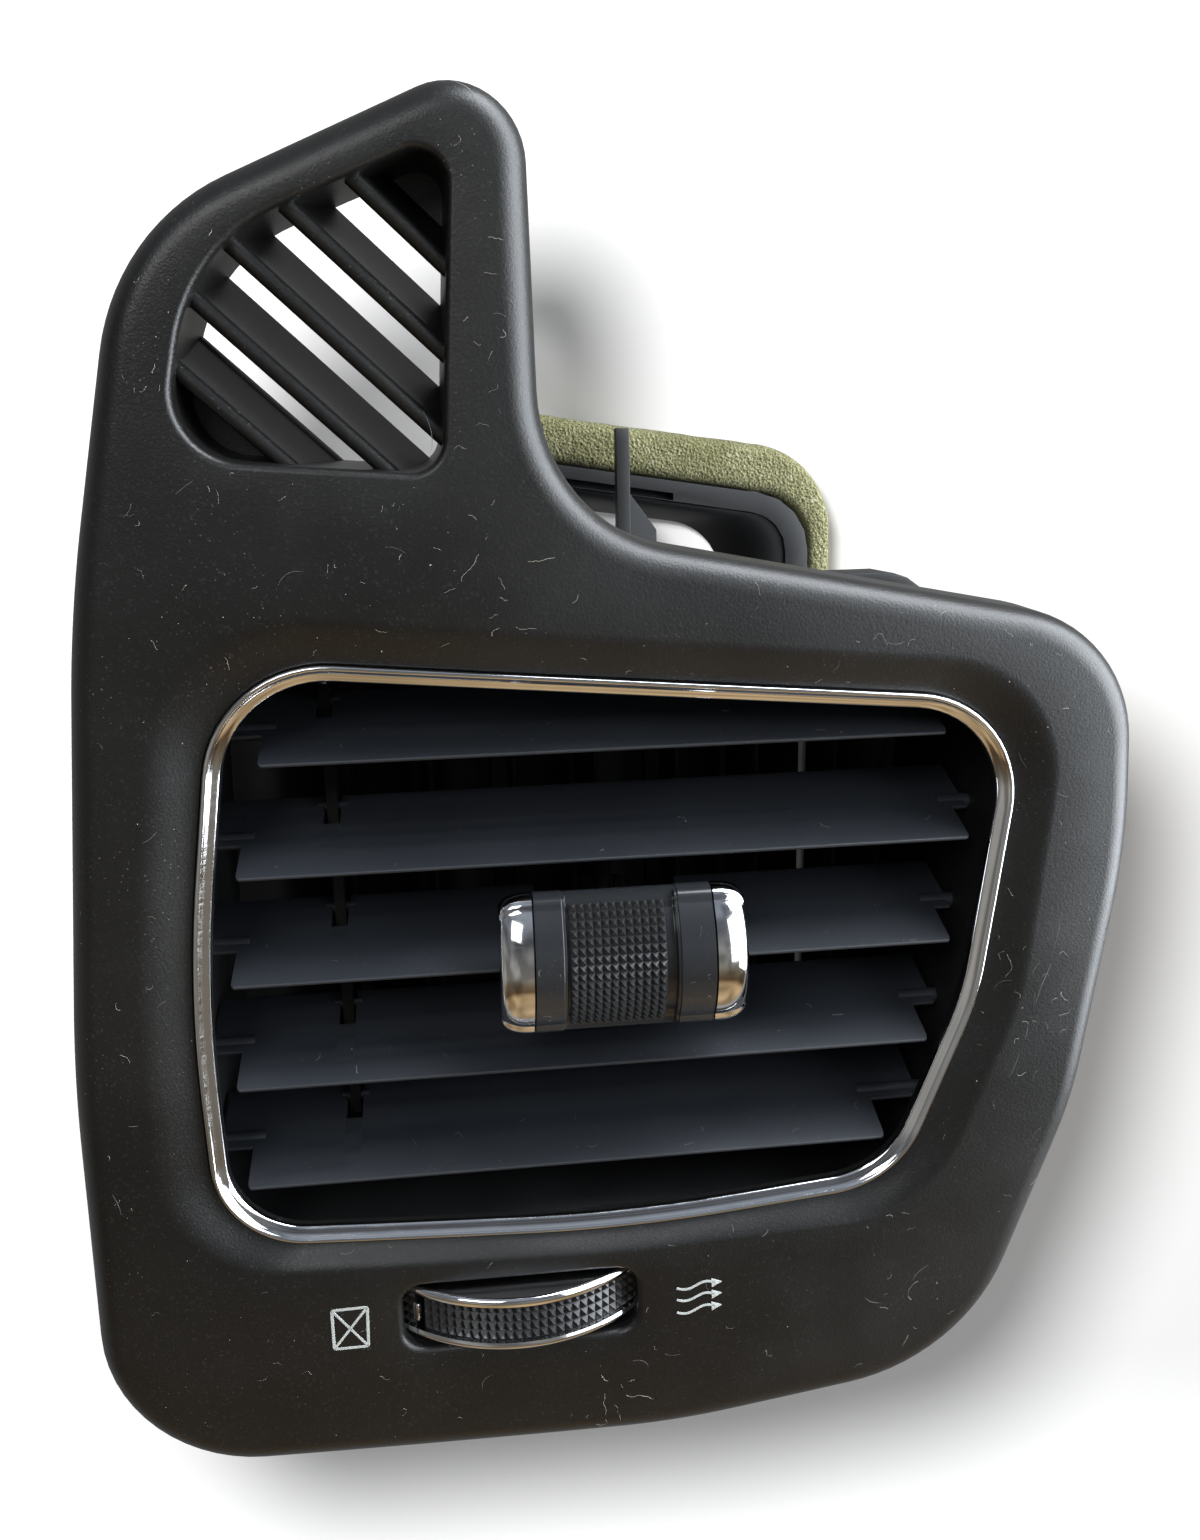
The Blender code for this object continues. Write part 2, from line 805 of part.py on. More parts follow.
def clip_rib(place):
    """Upright rib that carries a spring clip."""
    x, z = place
    return box(
        "clip_rib",
        (x - CLIP_RIB_THICKNESS / 2, BEZEL_WALL * 0.5 + crown(x, z), z - CLIP_RIB_HEIGHT / 2),
        (x + CLIP_RIB_THICKNESS / 2, CLIP_RIB_BACK, z + CLIP_RIB_HEIGHT / 2),
    )


def build_bezel(root):
    extras = slats()
    holes = []
    for place in SCREW_PLACES:
        extras.append(screw_boss(place))
        hole_front = ear_front() - SCREW_GRIP - FIT_GAP
        holes.append(drill(SCREW_RADIUS + FIT_GAP, hole_front, ear_front(), "Y", place))
    for place in (LOWER_TAB, UPPER_TAB):
        extras += fixing_tab(place)
        hole_at = (place[0] - TAB_WIDTH * 0.22, place[1])
        holes.append(drill(TAB_HOLE_RADIUS, TAB_BACK - 0.005, TAB_BACK + 0.001, "Y", hole_at))
    extras += [clip_rib(place) for place in CLIP_PLACES]
    solid = cut(joined(bezel_shell(), extras), holes)
    solid.name = "front_bezel"
    dress(add_object("front_bezel", solid, root), "grained_charcoal", 30)


def build_trim_ring(root):
    """Ring with a small outer bead and a band that slopes down into the outlet."""
    shelf = FUNNEL_DEPTH + REBATE_DEPTH - FIT_GAP
    top = FUNNEL_DEPTH - RING_PROUD
    section = [
        (0.0, top + 0.0004),
        (-0.0003, top),
        (-0.0007, top + 0.0001),
        (-0.0010, top + 0.0005),
        (-RING_WIDTH + 0.0002, shelf - 0.0008),
        (-RING_WIDTH, shelf - 0.0004),
        (-RING_WIDTH, shelf),
        (0.0, shelf),
    ]
    ring = swept_ring("trim_ring", outline(OUTLET_CORNERS, RIM_STEPS), section, True)
    dress(add_object("trim_ring", ring, root), "bright_chrome", 50)


# Barrel and bearings


def wall_x(side, z):
    """X of the barrel's inner wall at a height; side is -1 on the left and 1 on the right."""
    low, high = (0, 1) if side < 0 else (3, 2)
    x0, z0, _ = BARREL_CORNERS[low]
    x1, z1, _ = BARREL_CORNERS[high]
    return x0 + (x1 - x0) * (z - z0) / (z1 - z0)


def blade_z(index):
    return MIDDLE_BLADE_Z + BLADE_PITCH * (BLADE_COUNT // 2 - index)


def vane_x(index):
    return KNOB_X + VANE_PITCH * (index - VANE_COUNT // 2)


def barrel_floor():
    return BARREL_CORNERS[0][1]


def barrel_roof():
    return BARREL_CORNERS[1][1]


def barrel_back():
    return barrel_front() + BARREL_LENGTH


def ear(place):
    """Ear that joins a screw place to the nearest wall of the barrel."""
    tip = Vector(place)
    root = nearest_on(tip, grown(outline(BARREL_CORNERS, 4), BARREL_WALL / 2))
    along = (tip - root).normalized()
    side = Vector((-along.y, along.x)) * EAR_RADIUS
    points = [root - side, root + side]
    for step in range(7):
        angle = math.pi * step / 6
        points.append(tip + side * math.cos(angle) + along * EAR_RADIUS * math.sin(angle))
    return prism("ear", [(p.x, p.y) for p in points], ear_front(), ear_front() + EAR_THICKNESS, "Y")


def build_barrel(root):
    section = [
        (0.0, barrel_front()),
        (0.0, barrel_back()),
        (BARREL_WALL, barrel_back()),
        (BARREL_WALL, barrel_front()),
    ]
    tube = swept_ring("vane_housing", outline(BARREL_CORNERS, 4), section)
    solid = joined(tube, [ear(place) for place in SCREW_PLACES])
    holes = []
    for place in SCREW_PLACES:
        start = ear_front() - 0.001
        holes.append(drill(SCREW_RADIUS + FIT_GAP, start, start + 2 * EAR_THICKNESS, "Y", place))
    for index in range(BLADE_COUNT):
        centre = (BLADE_AXIS_Y, blade_z(index))
        radius = PIN_RADIUS + RUNNING_GAP
        for side in (-1, 1):
            wall = wall_x(side, blade_z(index))
            holes.append(drill(radius, wall - 0.005, wall + 0.005, "X", centre))
    for index in range(VANE_COUNT):
        centre = (vane_x(index), VANE_AXIS_Y)
        radius = PIN_RADIUS + RUNNING_GAP
        for z in (barrel_floor(), barrel_roof()):
            holes.append(drill(radius, z - 0.004, z + 0.004, "Z", centre))
    dress(add_object("vane_housing", cut(solid, holes), root), "plain_black")


def build_bearings(root):
    """Strips on the outside of the barrel that hold the blade pins."""
    reach = 0.0070
    low = blade_z(BLADE_COUNT - 1) - reach
    high = blade_z(0) + reach
    for side, name in ((-1, "blade_bearing_left"), (1, "blade_bearing_right")):
        inner = BARREL_WALL + FIT_GAP
        outer = inner + BEARING_THICKNESS
        section = [
            (wall_x(side, low) + side * inner, low),
            (wall_x(side, low) + side * outer, low),
            (wall_x(side, high) + side * outer, high),
            (wall_x(side, high) + side * inner, high),
        ]
        front = BLADE_AXIS_Y - BEARING_DEPTH / 2
        strip = prism(name, section, front, front + BEARING_DEPTH, "Y")
        holes = []
        for index in range(BLADE_COUNT):
            wall = wall_x(side, blade_z(index))
            centre = (BLADE_AXIS_Y, blade_z(index))
            holes.append(drill(PIN_RADIUS + RUNNING_GAP, wall - 0.01, wall + 0.01, "X", centre))
        dress(add_object(name, cut(strip, holes), root), "plain_black")


def screw(name, centre, seat, tip, axis):
    """Pan-head screw: the head stands on its seat, away from the tip, and has a hexagon socket."""
    away = 1 if seat > tip else -1
    top = seat + away * SCREW_HEAD_HEIGHT
    middle = seat + away * SCREW_HEAD_HEIGHT / 2
    head = rod("head", SCREW_HEAD_RADIUS, *sorted((seat, top)), axis, centre, 14)
    shank = rod("shank", SCREW_RADIUS, *sorted((tip, middle)), axis, centre)
    beyond = top + away * SCREW_HEAD_HEIGHT
    socket = rod("socket", SCREW_SOCKET_RADIUS, *sorted((middle, beyond)), axis, centre, 6)
    solid = cut(joined(head, [shank]), [socket])
    solid.name = name
    return solid


def build_bezel_screws(root):
    seat = ear_front() + EAR_THICKNESS + FIT_GAP
    for index, place in enumerate(SCREW_PLACES):
        name = f"bezel_screw_{index + 1}"
        solid = screw(name, place, seat, seat - EAR_THICKNESS - SCREW_GRIP, "Y")
        dress(add_object(name, solid, root), "zinc_steel")


def build_clips(root):
    """Folded spring clips, each with two barbs, pushed over the ribs."""
    inner = CLIP_RIB_THICKNESS / 2 + FIT_GAP
    outer = inner + CLIP_SHEET
    tip = CLIP_RIB_BACK + FIT_GAP
    foot = CLIP_RIB_BACK - 0.0095
    for index, (x, z) in enumerate(CLIP_PLACES):
        section = [
            (inner, foot),
            (inner, tip),
            (-inner, tip),
            (-inner, foot),
            (-outer - CLIP_BARB, foot + 0.0022),
            (-outer - CLIP_BARB, foot + 0.0022 + CLIP_SHEET),
            (-outer, foot + 0.0018),
            (-outer, tip + CLIP_SHEET),
            (outer, tip + CLIP_SHEET),
            (outer, foot + 0.0018),
            (outer + CLIP_BARB, foot + 0.0022 + CLIP_SHEET),
            (outer + CLIP_BARB, foot + 0.0022),
        ]
        name = f"retaining_clip_{index + 1}"
        points = [(x + a, b) for a, b in section]
        clip = prism(name, points, z - CLIP_WIDTH / 2, z + CLIP_WIDTH / 2, "Z")
        dress(add_object(name, clip, root), "zinc_steel")


# Blades


def blade_section(front, rear):
    """Section of a blade along its chord: round nose, full middle and thin tail."""
    nose = BLADE_THICKNESS / 2
    tail = BLADE_TAIL_THICKNESS / 2
    points = []
    if front > BLADE_FRONT - nose:
        for step in range(7):
            angle = -math.pi / 2 + math.pi * step / 6
            forward = BLADE_FRONT - nose + nose * math.cos(angle)
            points.append((-forward, nose * math.sin(angle)))
    else:
        points += [(-front, -nose), (-front, nose)]
    points += [(rear - tail, tail), (rear, tail * 0.3), (rear, -tail * 0.3), (rear - tail, -tail)]
    return points


def blade_mesh(index):
    """Blade with its chord along Y: front half, wider rear half, pins and the notch for the tie bar."""
    left, right = BLADE_FRONT_ENDS[index]
    z = blade_z(index)
    wide_left = wall_x(-1, z) + BLADE_END_GAP
    wide_right = wall_x(1, z) - BLADE_END_GAP
    body = prism("blade", blade_section(BLADE_FRONT, BLADE_REAR), left, right, "X")
    rear = prism("rear", blade_section(BLADE_SHOULDER, BLADE_REAR), wide_left, wide_right, "X")
    pin_reach = BLADE_END_GAP + BARREL_WALL + FIT_GAP + BEARING_THICKNESS
    pins = [
        rod("pin", PIN_RADIUS, wide_left - pin_reach, left + 0.002, "X", (0, 0)),
        rod("pin", PIN_RADIUS, right - 0.002, wide_right + pin_reach, "X", (0, 0)),
    ]
    tie_half = TIE_NOTCH_WIDTH / 2
    notch = box(
        "notch",
        (BLADE_TIE_X - tie_half, 0.0025, -0.01),
        (BLADE_TIE_X + tie_half, BLADE_REAR + 0.01, 0.01),
    )
    solid = cut(joined(body, [rear] + pins), [notch])
    tie_pin = rod(
        "tie_pin",
        TIE_PIN_RADIUS,
        BLADE_TIE_X - tie_half - 0.002,
        BLADE_TIE_X + tie_half + 0.002,
        "X",
        (BLADE_TIE_ARM, 0),
        8,
    )
    return joined(solid, [tie_pin])


def horn_window():
    """Cut-out at the tail of the middle blade for the horn of the middle vane."""
    half = KNOB_TRAVEL + HORN_RADIUS + 0.0010
    return box(
        "window",
        (KNOB_X - half, BLADE_REAR * 0.57, -0.01),
        (KNOB_X + half, BLADE_REAR + 0.01, 0.01),
    )


def build_blades(blade_axes):
    for index in range(BLADE_COUNT):
        solid = blade_mesh(index)
        if index == BLADE_COUNT // 2:
            solid = cut(solid, [horn_window()])
        name = f"blade_{index + 1}"
        dress(add_object(name, solid, blade_axes[index]), "satin_black")


def build_blade_tie_bar(blade_axis):
    """Upright bar with a hole for each blade's rear pin."""
    reach = BLADE_PITCH * (BLADE_COUNT // 2)
    end = TIE_BAR_WIDTH * 0.7
    half = TIE_BAR_WIDTH / 2
    section = [
        (-half, -reach - end * 0.5),
        (-half * 0.5, -reach - end),
        (half * 0.5, -reach - end),
        (half, -reach - end * 0.5),
        (half, reach + end * 0.5),
        (half * 0.5, reach + end),
        (-half * 0.5, reach + end),
        (-half, reach + end * 0.5),
    ]
    thick = TIE_BAR_THICKNESS / 2
    bar = prism("blade_tie_bar", section, BLADE_TIE_X - thick, BLADE_TIE_X + thick, "X")
    holes = []
    for index in range(BLADE_COUNT):
        z = BLADE_PITCH * (BLADE_COUNT // 2 - index)
        radius = TIE_PIN_RADIUS + FIT_GAP
        holes.append(drill(radius, BLADE_TIE_X - 0.01, BLADE_TIE_X + 0.01, "X", (0, z)))
    part = add_object("blade_tie_bar", cut(bar, holes), blade_axis)
    part.location = (0, BLADE_TIE_ARM, 0)
    part.rotation_euler = (-BLADE_REST_TILT, 0, 0)
    dress(part, "plain_black")


# Knob, in a frame on the middle blade's axis with Y into the vent and Z up


def knob_section(grow=0.0):
    """D-shaped section: flat back, rounded corners and a convex face."""
    half = KNOB_HALF_HEIGHT + grow
    centre = KNOB_FRONT - KNOB_FACE_RADIUS
    radius = KNOB_FACE_RADIUS + grow
    limit = math.asin((half - KNOB_CORNER_RADIUS) / radius) * 0.97
    points = [(-KNOB_BACK, -half * 0.93), (-KNOB_BACK - 0.0012, -half)]
    steps = 12
    for step in range(steps + 1):
        angle = -limit + 2 * limit * step / steps
        points.append((-centre - radius * math.cos(angle), radius * math.sin(angle)))
    points += [(-KNOB_BACK - 0.0012, half), (-KNOB_BACK, half * 0.93)]
    return points


def knob_lean(x, z):
    """The knob is a little wider at its foot than at its top."""
    return x * (1 - 0.9 * z)


def leaning_prism(name, sections):
    """Closed body through sections, each an X with its section points."""
    shape = bmesh.new()
    rings = []
    for x, points in sections:
        rings.append([shape.verts.new((knob_lean(x, z), y, z)) for y, z in points])
    for first, second in zip(rings, rings[1:]):
        bridge(shape, first, second)
    shape.faces.new(rings[0])
    shape.faces.new(list(reversed(rings[-1])))
    return to_mesh(name, shape)


def shrunk(points, share):
    """Section drawn in towards its back middle."""
    return [(-KNOB_BACK + (y + KNOB_BACK) * share, z * share) for y, z in points]


def pad_arc(radius, half_angle, steps):
    """Points of an arc about the face's centre of curvature."""
    centre = KNOB_FRONT - KNOB_FACE_RADIUS
    points = []
    for step in range(steps + 1):
        angle = -half_angle + 2 * half_angle * step / steps
        points.append((-centre - radius * math.cos(angle), radius * math.sin(angle)))
    return points


def build_knob_body(knob):
    half = KNOB_WIDTH / 2 - KNOB_CAP_WIDTH - FIT_GAP / 2
    body = leaning_prism("knob_body", [(-half, knob_section()), (half, knob_section())])
    floor = KNOB_FACE_RADIUS - PAD_RECESS
    recess = pad_arc(floor, PAD_HALF_ANGLE, 12) + list(reversed(pad_arc(floor + 0.01, PAD_HALF_ANGLE, 12)))
    low, high = PAD_X - PAD_WIDTH / 2, PAD_X + PAD_WIDTH / 2
    cutter = leaning_prism("recess", [(low, recess), (high, recess)])
    dress(add_object("knob_body", cut(body, [cutter]), knob), "gloss_black")


def build_knob_grip(knob):
    """Soft pad: a curved plate with rows of small pyramids."""
    floor = KNOB_FACE_RADIUS - PAD_RECESS + FIT_GAP
    base = floor + PAD_RECESS * 0.35
    peak = KNOB_FACE_RADIUS - 0.0001
    half = PAD_WIDTH / 2 - FIT_GAP
    span = PAD_HALF_ANGLE - 0.022
    centre = KNOB_FRONT - KNOB_FACE_RADIUS
    shape = bmesh.new()

    def corner(x, angle, radius):
        z = radius * math.sin(angle)
        return shape.verts.new((knob_lean(x, z), -centre - radius * math.cos(angle), z))

    upper = []
    lower = []
    for row in range(PAD_ROWS + 1):
        angle = -span + 2 * span * row / PAD_ROWS
        xs = [PAD_X - half + 2 * half * column / PAD_COLUMNS for column in range(PAD_COLUMNS + 1)]
        upper.append([corner(x, angle, base) for x in xs])
        lower.append([corner(x, angle, floor) for x in (xs[0], xs[-1])])
    for row in range(PAD_ROWS):
        middle = -span + 2 * span * (row + 0.5) / PAD_ROWS
        for column in range(PAD_COLUMNS):
            x = PAD_X - half + 2 * half * (column + 0.5) / PAD_COLUMNS
            top = corner(x, middle, peak)
            ring = (
                upper[row][column],
                upper[row][column + 1],
                upper[row + 1][column + 1],
                upper[row + 1][column],
            )
            for index in range(4):
                shape.faces.new((ring[index], ring[(index + 1) % 4], top))
        shape.faces.new((lower[row][0], lower[row + 1][0], lower[row + 1][1], lower[row][1]))
        shape.faces.new((upper[row][0], upper[row + 1][0], lower[row + 1][0], lower[row][0]))
        shape.faces.new((upper[row][-1], lower[row][1], lower[row + 1][1], upper[row + 1][-1]))
    shape.faces.new([lower[0][0], lower[0][1]] + list(reversed(upper[0])))
    shape.faces.new([lower[-1][1], lower[-1][0]] + upper[-1])
    dress(add_object("knob_grip", to_mesh("knob_grip", shape), knob), "soft_black", 10)


def build_knob_caps(knob):
    inner = KNOB_WIDTH / 2 - KNOB_CAP_WIDTH + FIT_GAP / 2
    outer = KNOB_WIDTH / 2
    full = knob_section()
    for side, name in ((-1, "knob_cap_left"), (1, "knob_cap_right")):
        sections = [
            (side * inner, full),
            (side * (outer - KNOB_CAP_ROUND), full),
            (side * (outer - KNOB_CAP_ROUND * 0.4), shrunk(full, 0.965)),
            (side * outer, shrunk(full, 0.88)),
        ]
        dress(add_object(name, leaning_prism(name, sections), knob), "bright_chrome", 40)


def build_knob_slider(knob):
    """Sleeve that runs on the middle blade, with the fork that drives the middle vane."""
    inner = BLADE_THICKNESS / 2 + RUNNING_GAP
    outer = inner + SLIDER_WALL
    nose = BLADE_FRONT + RUNNING_GAP
    tail = -0.0010
    section = [
        (-nose - SLIDER_WALL, -outer),
        (tail, -outer),
        (tail, -inner),
        (-nose, -inner),
        (-nose, inner),
        (tail, inner),
        (tail, outer),
        (-nose - SLIDER_WALL, outer),
    ]
    half = SLIDER_WIDTH / 2
    sleeve = prism("knob_slider", section, -half, half, "X")
    prong = FORK_SLOT / 2 + FORK_PRONG
    arm = box("arm", (-prong, -0.006, -outer), (prong, FORK_REACH, -inner))
    slot_start = FORK_REACH - FORK_SLOT_LENGTH
    slot = box("slot", (-FORK_SLOT / 2, slot_start, -0.01), (FORK_SLOT / 2, FORK_REACH + 0.01, 0.01))
    part = add_object("knob_slider", cut(joined(sleeve, [arm]), [slot]), knob)
    part.rotation_euler = (BLADE_REST_TILT, 0, 0)
    dress(part, "plain_black")


# Vanes, each in a frame on its own axis at the middle blade's height


def vane_mesh(index):
    """Flat vane with pins at both ends and a notch with a pin for the tie bar."""
    low = barrel_floor() + VANE_END_GAP - MIDDLE_BLADE_Z
    high = barrel_roof() - VANE_END_GAP - MIDDLE_BLADE_Z
    half = VANE_THICKNESS / 2
    edge = half * 0.4
    section = [
        (-edge, -VANE_HALF_CHORD),
        (edge, -VANE_HALF_CHORD),
        (half, -VANE_HALF_CHORD * 0.55),
        (half, VANE_HALF_CHORD * 0.4),
        (edge, VANE_HALF_CHORD),
        (-edge, VANE_HALF_CHORD),
        (-half, VANE_HALF_CHORD * 0.4),
        (-half, -VANE_HALF_CHORD * 0.55),
    ]
    body = prism("vane", section, low, high, "Z")
    pin_reach = VANE_END_GAP + BARREL_WALL
    extras = [
        rod("pin", PIN_RADIUS, low - pin_reach, low + 0.003, "Z", (0, 0)),
        rod("pin", PIN_RADIUS, high - 0.003, high + pin_reach, "Z", (0, 0)),
    ]
    tie_half = TIE_NOTCH_WIDTH / 2
    tie_z = VANE_TIE_Z - MIDDLE_BLADE_Z
    notch = box(
        "notch",
        (-0.01, VANE_TIE_ARM - 0.0042, tie_z - tie_half),
        (0.01, VANE_HALF_CHORD + 0.01, tie_z + tie_half),
    )
    tie_pin = rod(
        "tie_pin", TIE_PIN_RADIUS, tie_z - tie_half - 0.002, tie_z + tie_half + 0.002, "Z", (0, VANE_TIE_ARM), 8
    )
    solid = joined(cut(joined(body, extras), [notch]), [tie_pin])
    if index == VANE_COUNT // 2:
        solid = joined(solid, horn())
    return solid


def horn():
    """Bail on the front edge of the middle vane that the fork grips."""
    arm_end = -VANE_HALF_CHORD * 0.8
    half = VANE_THICKNESS / 2
    pieces = [rod("bar", HORN_RADIUS, HORN_LOWEST - 0.001, HORN_HIGHEST + 0.001, "Z", (0, -HORN_REACH), 10)]
    for low in (HORN_LOWEST - HORN_THICKNESS, HORN_HIGHEST):
        pieces.append(
            box("arm", (-half, -HORN_REACH - HORN_RADIUS * 0.7, low), (half, arm_end, low + HORN_THICKNESS))
        )
    return pieces


def build_vanes(vane_axes):
    for index in range(VANE_COUNT):
        name = f"vane_{index + 1}"
        dress(add_object(name, vane_mesh(index), vane_axes[index]), "plain_black")


def build_vane_tie_bar(vane_axis):
    """Level bar with a hole for each vane's rear pin."""
    reach = VANE_PITCH * (VANE_COUNT // 2)
    half = TIE_BAR_WIDTH / 2
    end = TIE_BAR_WIDTH * 0.7
    section = [
        (-reach - end, -half * 0.5),
        (-reach - end * 0.5, -half),
        (reach + end * 0.5, -half),
        (reach + end, -half * 0.5),
        (reach + end, half * 0.5),
        (reach + end * 0.5, half),
        (-reach - end * 0.5, half),
        (-reach - end, half * 0.5),
    ]
    thick = TIE_BAR_THICKNESS / 2
    bar = prism("vane_tie_bar", section, -thick, thick, "Z")
    holes = []
    for index in range(VANE_COUNT):
        x = VANE_PITCH * (index - VANE_COUNT // 2)
        holes.append(drill(TIE_PIN_RADIUS + FIT_GAP, -0.01, 0.01, "Z", (x, 0)))
    place = (0, VANE_TIE_ARM, VANE_TIE_Z - MIDDLE_BLADE_Z)
    dress(add_object("vane_tie_bar", cut(bar, holes), vane_axis, place), "plain_black")


# Thumbwheel, in a frame on its axis at the middle of its height


def wheel_centre_y():
    return WHEEL_RADIUS - WHEEL_PROUD


def build_wheel_hub(wheel):
    """Drum, web and hub in one, with the crank pin that drives the link."""
    half = WHEEL_HEIGHT / 2
    drum_out = WHEEL_RADIUS - WHEEL_RIM_WIDTH
    drum_in = drum_out - 0.0016
    web = WHEEL_WEB_THICKNESS / 2
    bore = AXLE_RADIUS + RUNNING_GAP
    drum_half = half - 0.0004
    profile = [
        (bore, -half),
        (WHEEL_HUB_RADIUS, -half),
        (WHEEL_HUB_RADIUS, -web),
        (drum_in, -web),
        (drum_in, -drum_half),
        (drum_out, -drum_half),
        (drum_out, drum_half),
        (drum_in, drum_half),
        (drum_in, web),
        (WHEEL_HUB_RADIUS, web),
        (WHEEL_HUB_RADIUS, half),
        (bore, half),
    ]
    hub = turned("wheel_hub", profile, WHEEL_SIDES)
    pin_x = CRANK_RADIUS * math.cos(CRANK_REST)
    pin_y = CRANK_RADIUS * math.sin(CRANK_REST)
    pin_top = LINK_TOP_Z - WHEEL_CENTRE_Z
    boss = rod("boss", CRANK_PIN_RADIUS * 1.9, web * 0.5, half, "Z", (pin_x, pin_y))
    pin = rod("pin", CRANK_PIN_RADIUS, half * 0.5, pin_top, "Z", (pin_x, pin_y))
    dress(add_object("wheel_hub", joined(hub, [boss, pin]), wheel), "plain_black")


def marker_angle():
    """Direction from the wheel's axis to the marker, at the closed end of the slot."""
    return -math.pi / 2 - WHEEL_TRAVEL / 2


def build_wheel_grip(wheel):
    """Knurled band: pyramids on the side that a finger reaches, plain round the rest."""
    inner = WHEEL_RADIUS - WHEEL_RIM_WIDTH + FIT_GAP
    base = WHEEL_RADIUS - WHEEL_GRIP_DEPTH * 1.5
    peak = WHEEL_RADIUS - WHEEL_GRIP_DEPTH * 0.4
    half = WHEEL_HEIGHT / 2 - WHEEL_RIM_HEIGHT - FIT_GAP
    columns = round(WHEEL_KNURL_ARC * WHEEL_RADIUS / WHEEL_KNURL_PITCH)
    plain = 20
    first = marker_angle() + WHEEL_TRAVEL / 2 + math.radians(10) - WHEEL_KNURL_ARC / 2
    angles = [first + WHEEL_KNURL_ARC * index / columns for index in range(columns + 1)]
    rest = 2 * math.pi - WHEEL_KNURL_ARC
    angles += [angles[columns] + rest * index / plain for index in range(1, plain)]
    shape = bmesh.new()

    def corner(radius, angle, z):
        return shape.verts.new((radius * math.cos(angle), radius * math.sin(angle), z))

    rows = WHEEL_KNURL_ROWS
    heights = [-half + 2 * half * row / rows for row in range(rows + 1)]
    outer = [[corner(base, angle, z) for z in heights] for angle in angles]
    inside_ring = [[corner(inner, angle, z) for z in (-half, half)] for angle in angles]
    count = len(angles)
    for index in range(count):
        other = (index + 1) % count
        near, far = outer[index], outer[other]
        for row in range(rows):
            ring = (near[row], far[row], far[row + 1], near[row + 1])
            if index < columns:
                angle = (angles[index] + angles[other]) / 2
                top = corner(peak, angle, (heights[row] + heights[row + 1]) / 2)
                for side in range(4):
                    shape.faces.new((ring[side], ring[(side + 1) % 4], top))
            else:
                shape.faces.new(ring)
        low, high = inside_ring[index], inside_ring[other]
        shape.faces.new((low[0], low[1], high[1], high[0]))
        shape.faces.new((low[0], high[0], far[0], near[0]))
        shape.faces.new((low[1], near[-1], far[-1], high[1]))
    grip = to_mesh("wheel_grip", shape)
    pocket = marker_box(FIT_GAP)
    dress(add_object("wheel_grip", cut(grip, [pocket]), wheel), "soft_black", 10)


def marker_box(gap):
    """Box round the marker, turned to its place on the wheel."""
    half_width = MARKER_WIDTH / 2 + gap
    half_height = MARKER_HEIGHT / 2 + gap
    back = WHEEL_RADIUS - 0.0020 - gap
    block = box("marker", (back, -half_width, -half_height), (WHEEL_RADIUS + gap * 8, half_width, half_height))
    block.transform(Matrix.Rotation(marker_angle(), 4, "Z"))
    return block


def build_wheel_marker(wheel):
    dress(add_object("wheel_marker", marker_box(0.0), wheel), "bright_chrome")


def build_wheel_rims(wheel):
    half = WHEEL_HEIGHT / 2
    inner = WHEEL_RADIUS - WHEEL_RIM_WIDTH + FIT_GAP
    seat = half - WHEEL_RIM_HEIGHT
    bevel = 0.0008
    upper = [
        (inner, seat),
        (WHEEL_RADIUS - 0.0003, seat),
        (WHEEL_RADIUS, seat + 0.0003),
        (WHEEL_RADIUS - 0.0002, half - bevel),
        (WHEEL_RADIUS - bevel, half - 0.0002),
        (inner, half),
    ]
    lower = [(radius, -z) for radius, z in reversed(upper)]
    for name, profile in (("wheel_rim_upper", upper), ("wheel_rim_lower", lower)):
        dress(add_object(name, turned(name, profile, WHEEL_RIM_SIDES), wheel), "bright_chrome", 50)


def build_wheel_bracket(root):
    """Stirrup under the barrel: a floor below the wheel, two legs and two feet."""
    centre_y = wheel_centre_y()
    half = WHEEL_HEIGHT / 2
    floor_top = WHEEL_CENTRE_Z - half - BRACKET_SIDE_GAP
    floor_low = floor_top - BRACKET_THICKNESS
    leg_in = WHEEL_RADIUS + BRACKET_SIDE_GAP
    leg_out = leg_in + BRACKET_THICKNESS
    foot_out = leg_out + 0.0090
    foot_top = barrel_floor() - BARREL_WALL - FIT_GAP
    foot_low = foot_top - BRACKET_THICKNESS
    section = [
        (-leg_out, floor_low),
        (leg_out, floor_low),
        (leg_out, foot_low),
        (foot_out, foot_low),
        (foot_out, foot_top),
        (leg_in, foot_top),
        (leg_in, floor_top),
        (-leg_in, floor_top),
        (-leg_in, foot_top),
        (-foot_out, foot_top),
        (-foot_out, foot_low),
        (-leg_out, foot_low),
    ]
    front = centre_y - BRACKET_DEPTH / 2
    points = [(SLOT_CENTRE_X + a, b) for a, b in section]
    bracket = prism("wheel_bracket", points, front, front + BRACKET_DEPTH, "Y")
    holes = [drill(AXLE_RADIUS + FIT_GAP, floor_low - 0.01, floor_top + 0.01, "Z", (SLOT_CENTRE_X, centre_y))]
    for place in bracket_screw_places():
        holes.append(drill(SCREW_RADIUS + FIT_GAP, foot_low - 0.01, foot_top + 0.01, "Z", place))
    dress(add_object("wheel_bracket", cut(bracket, holes), root), "plain_black")
    head = rod("head", AXLE_RADIUS * 1.8, floor_low - FIT_GAP - 0.0014, floor_low - FIT_GAP, "Z", (0, 0))
    shank = rod("shank", AXLE_RADIUS, floor_low - FIT_GAP - 0.0007, WHEEL_CENTRE_Z + half, "Z", (0, 0), 16)
    place = (SLOT_CENTRE_X, centre_y, 0)
    dress(add_object("wheel_axle", joined(head, [shank]), root, place), "zinc_steel")


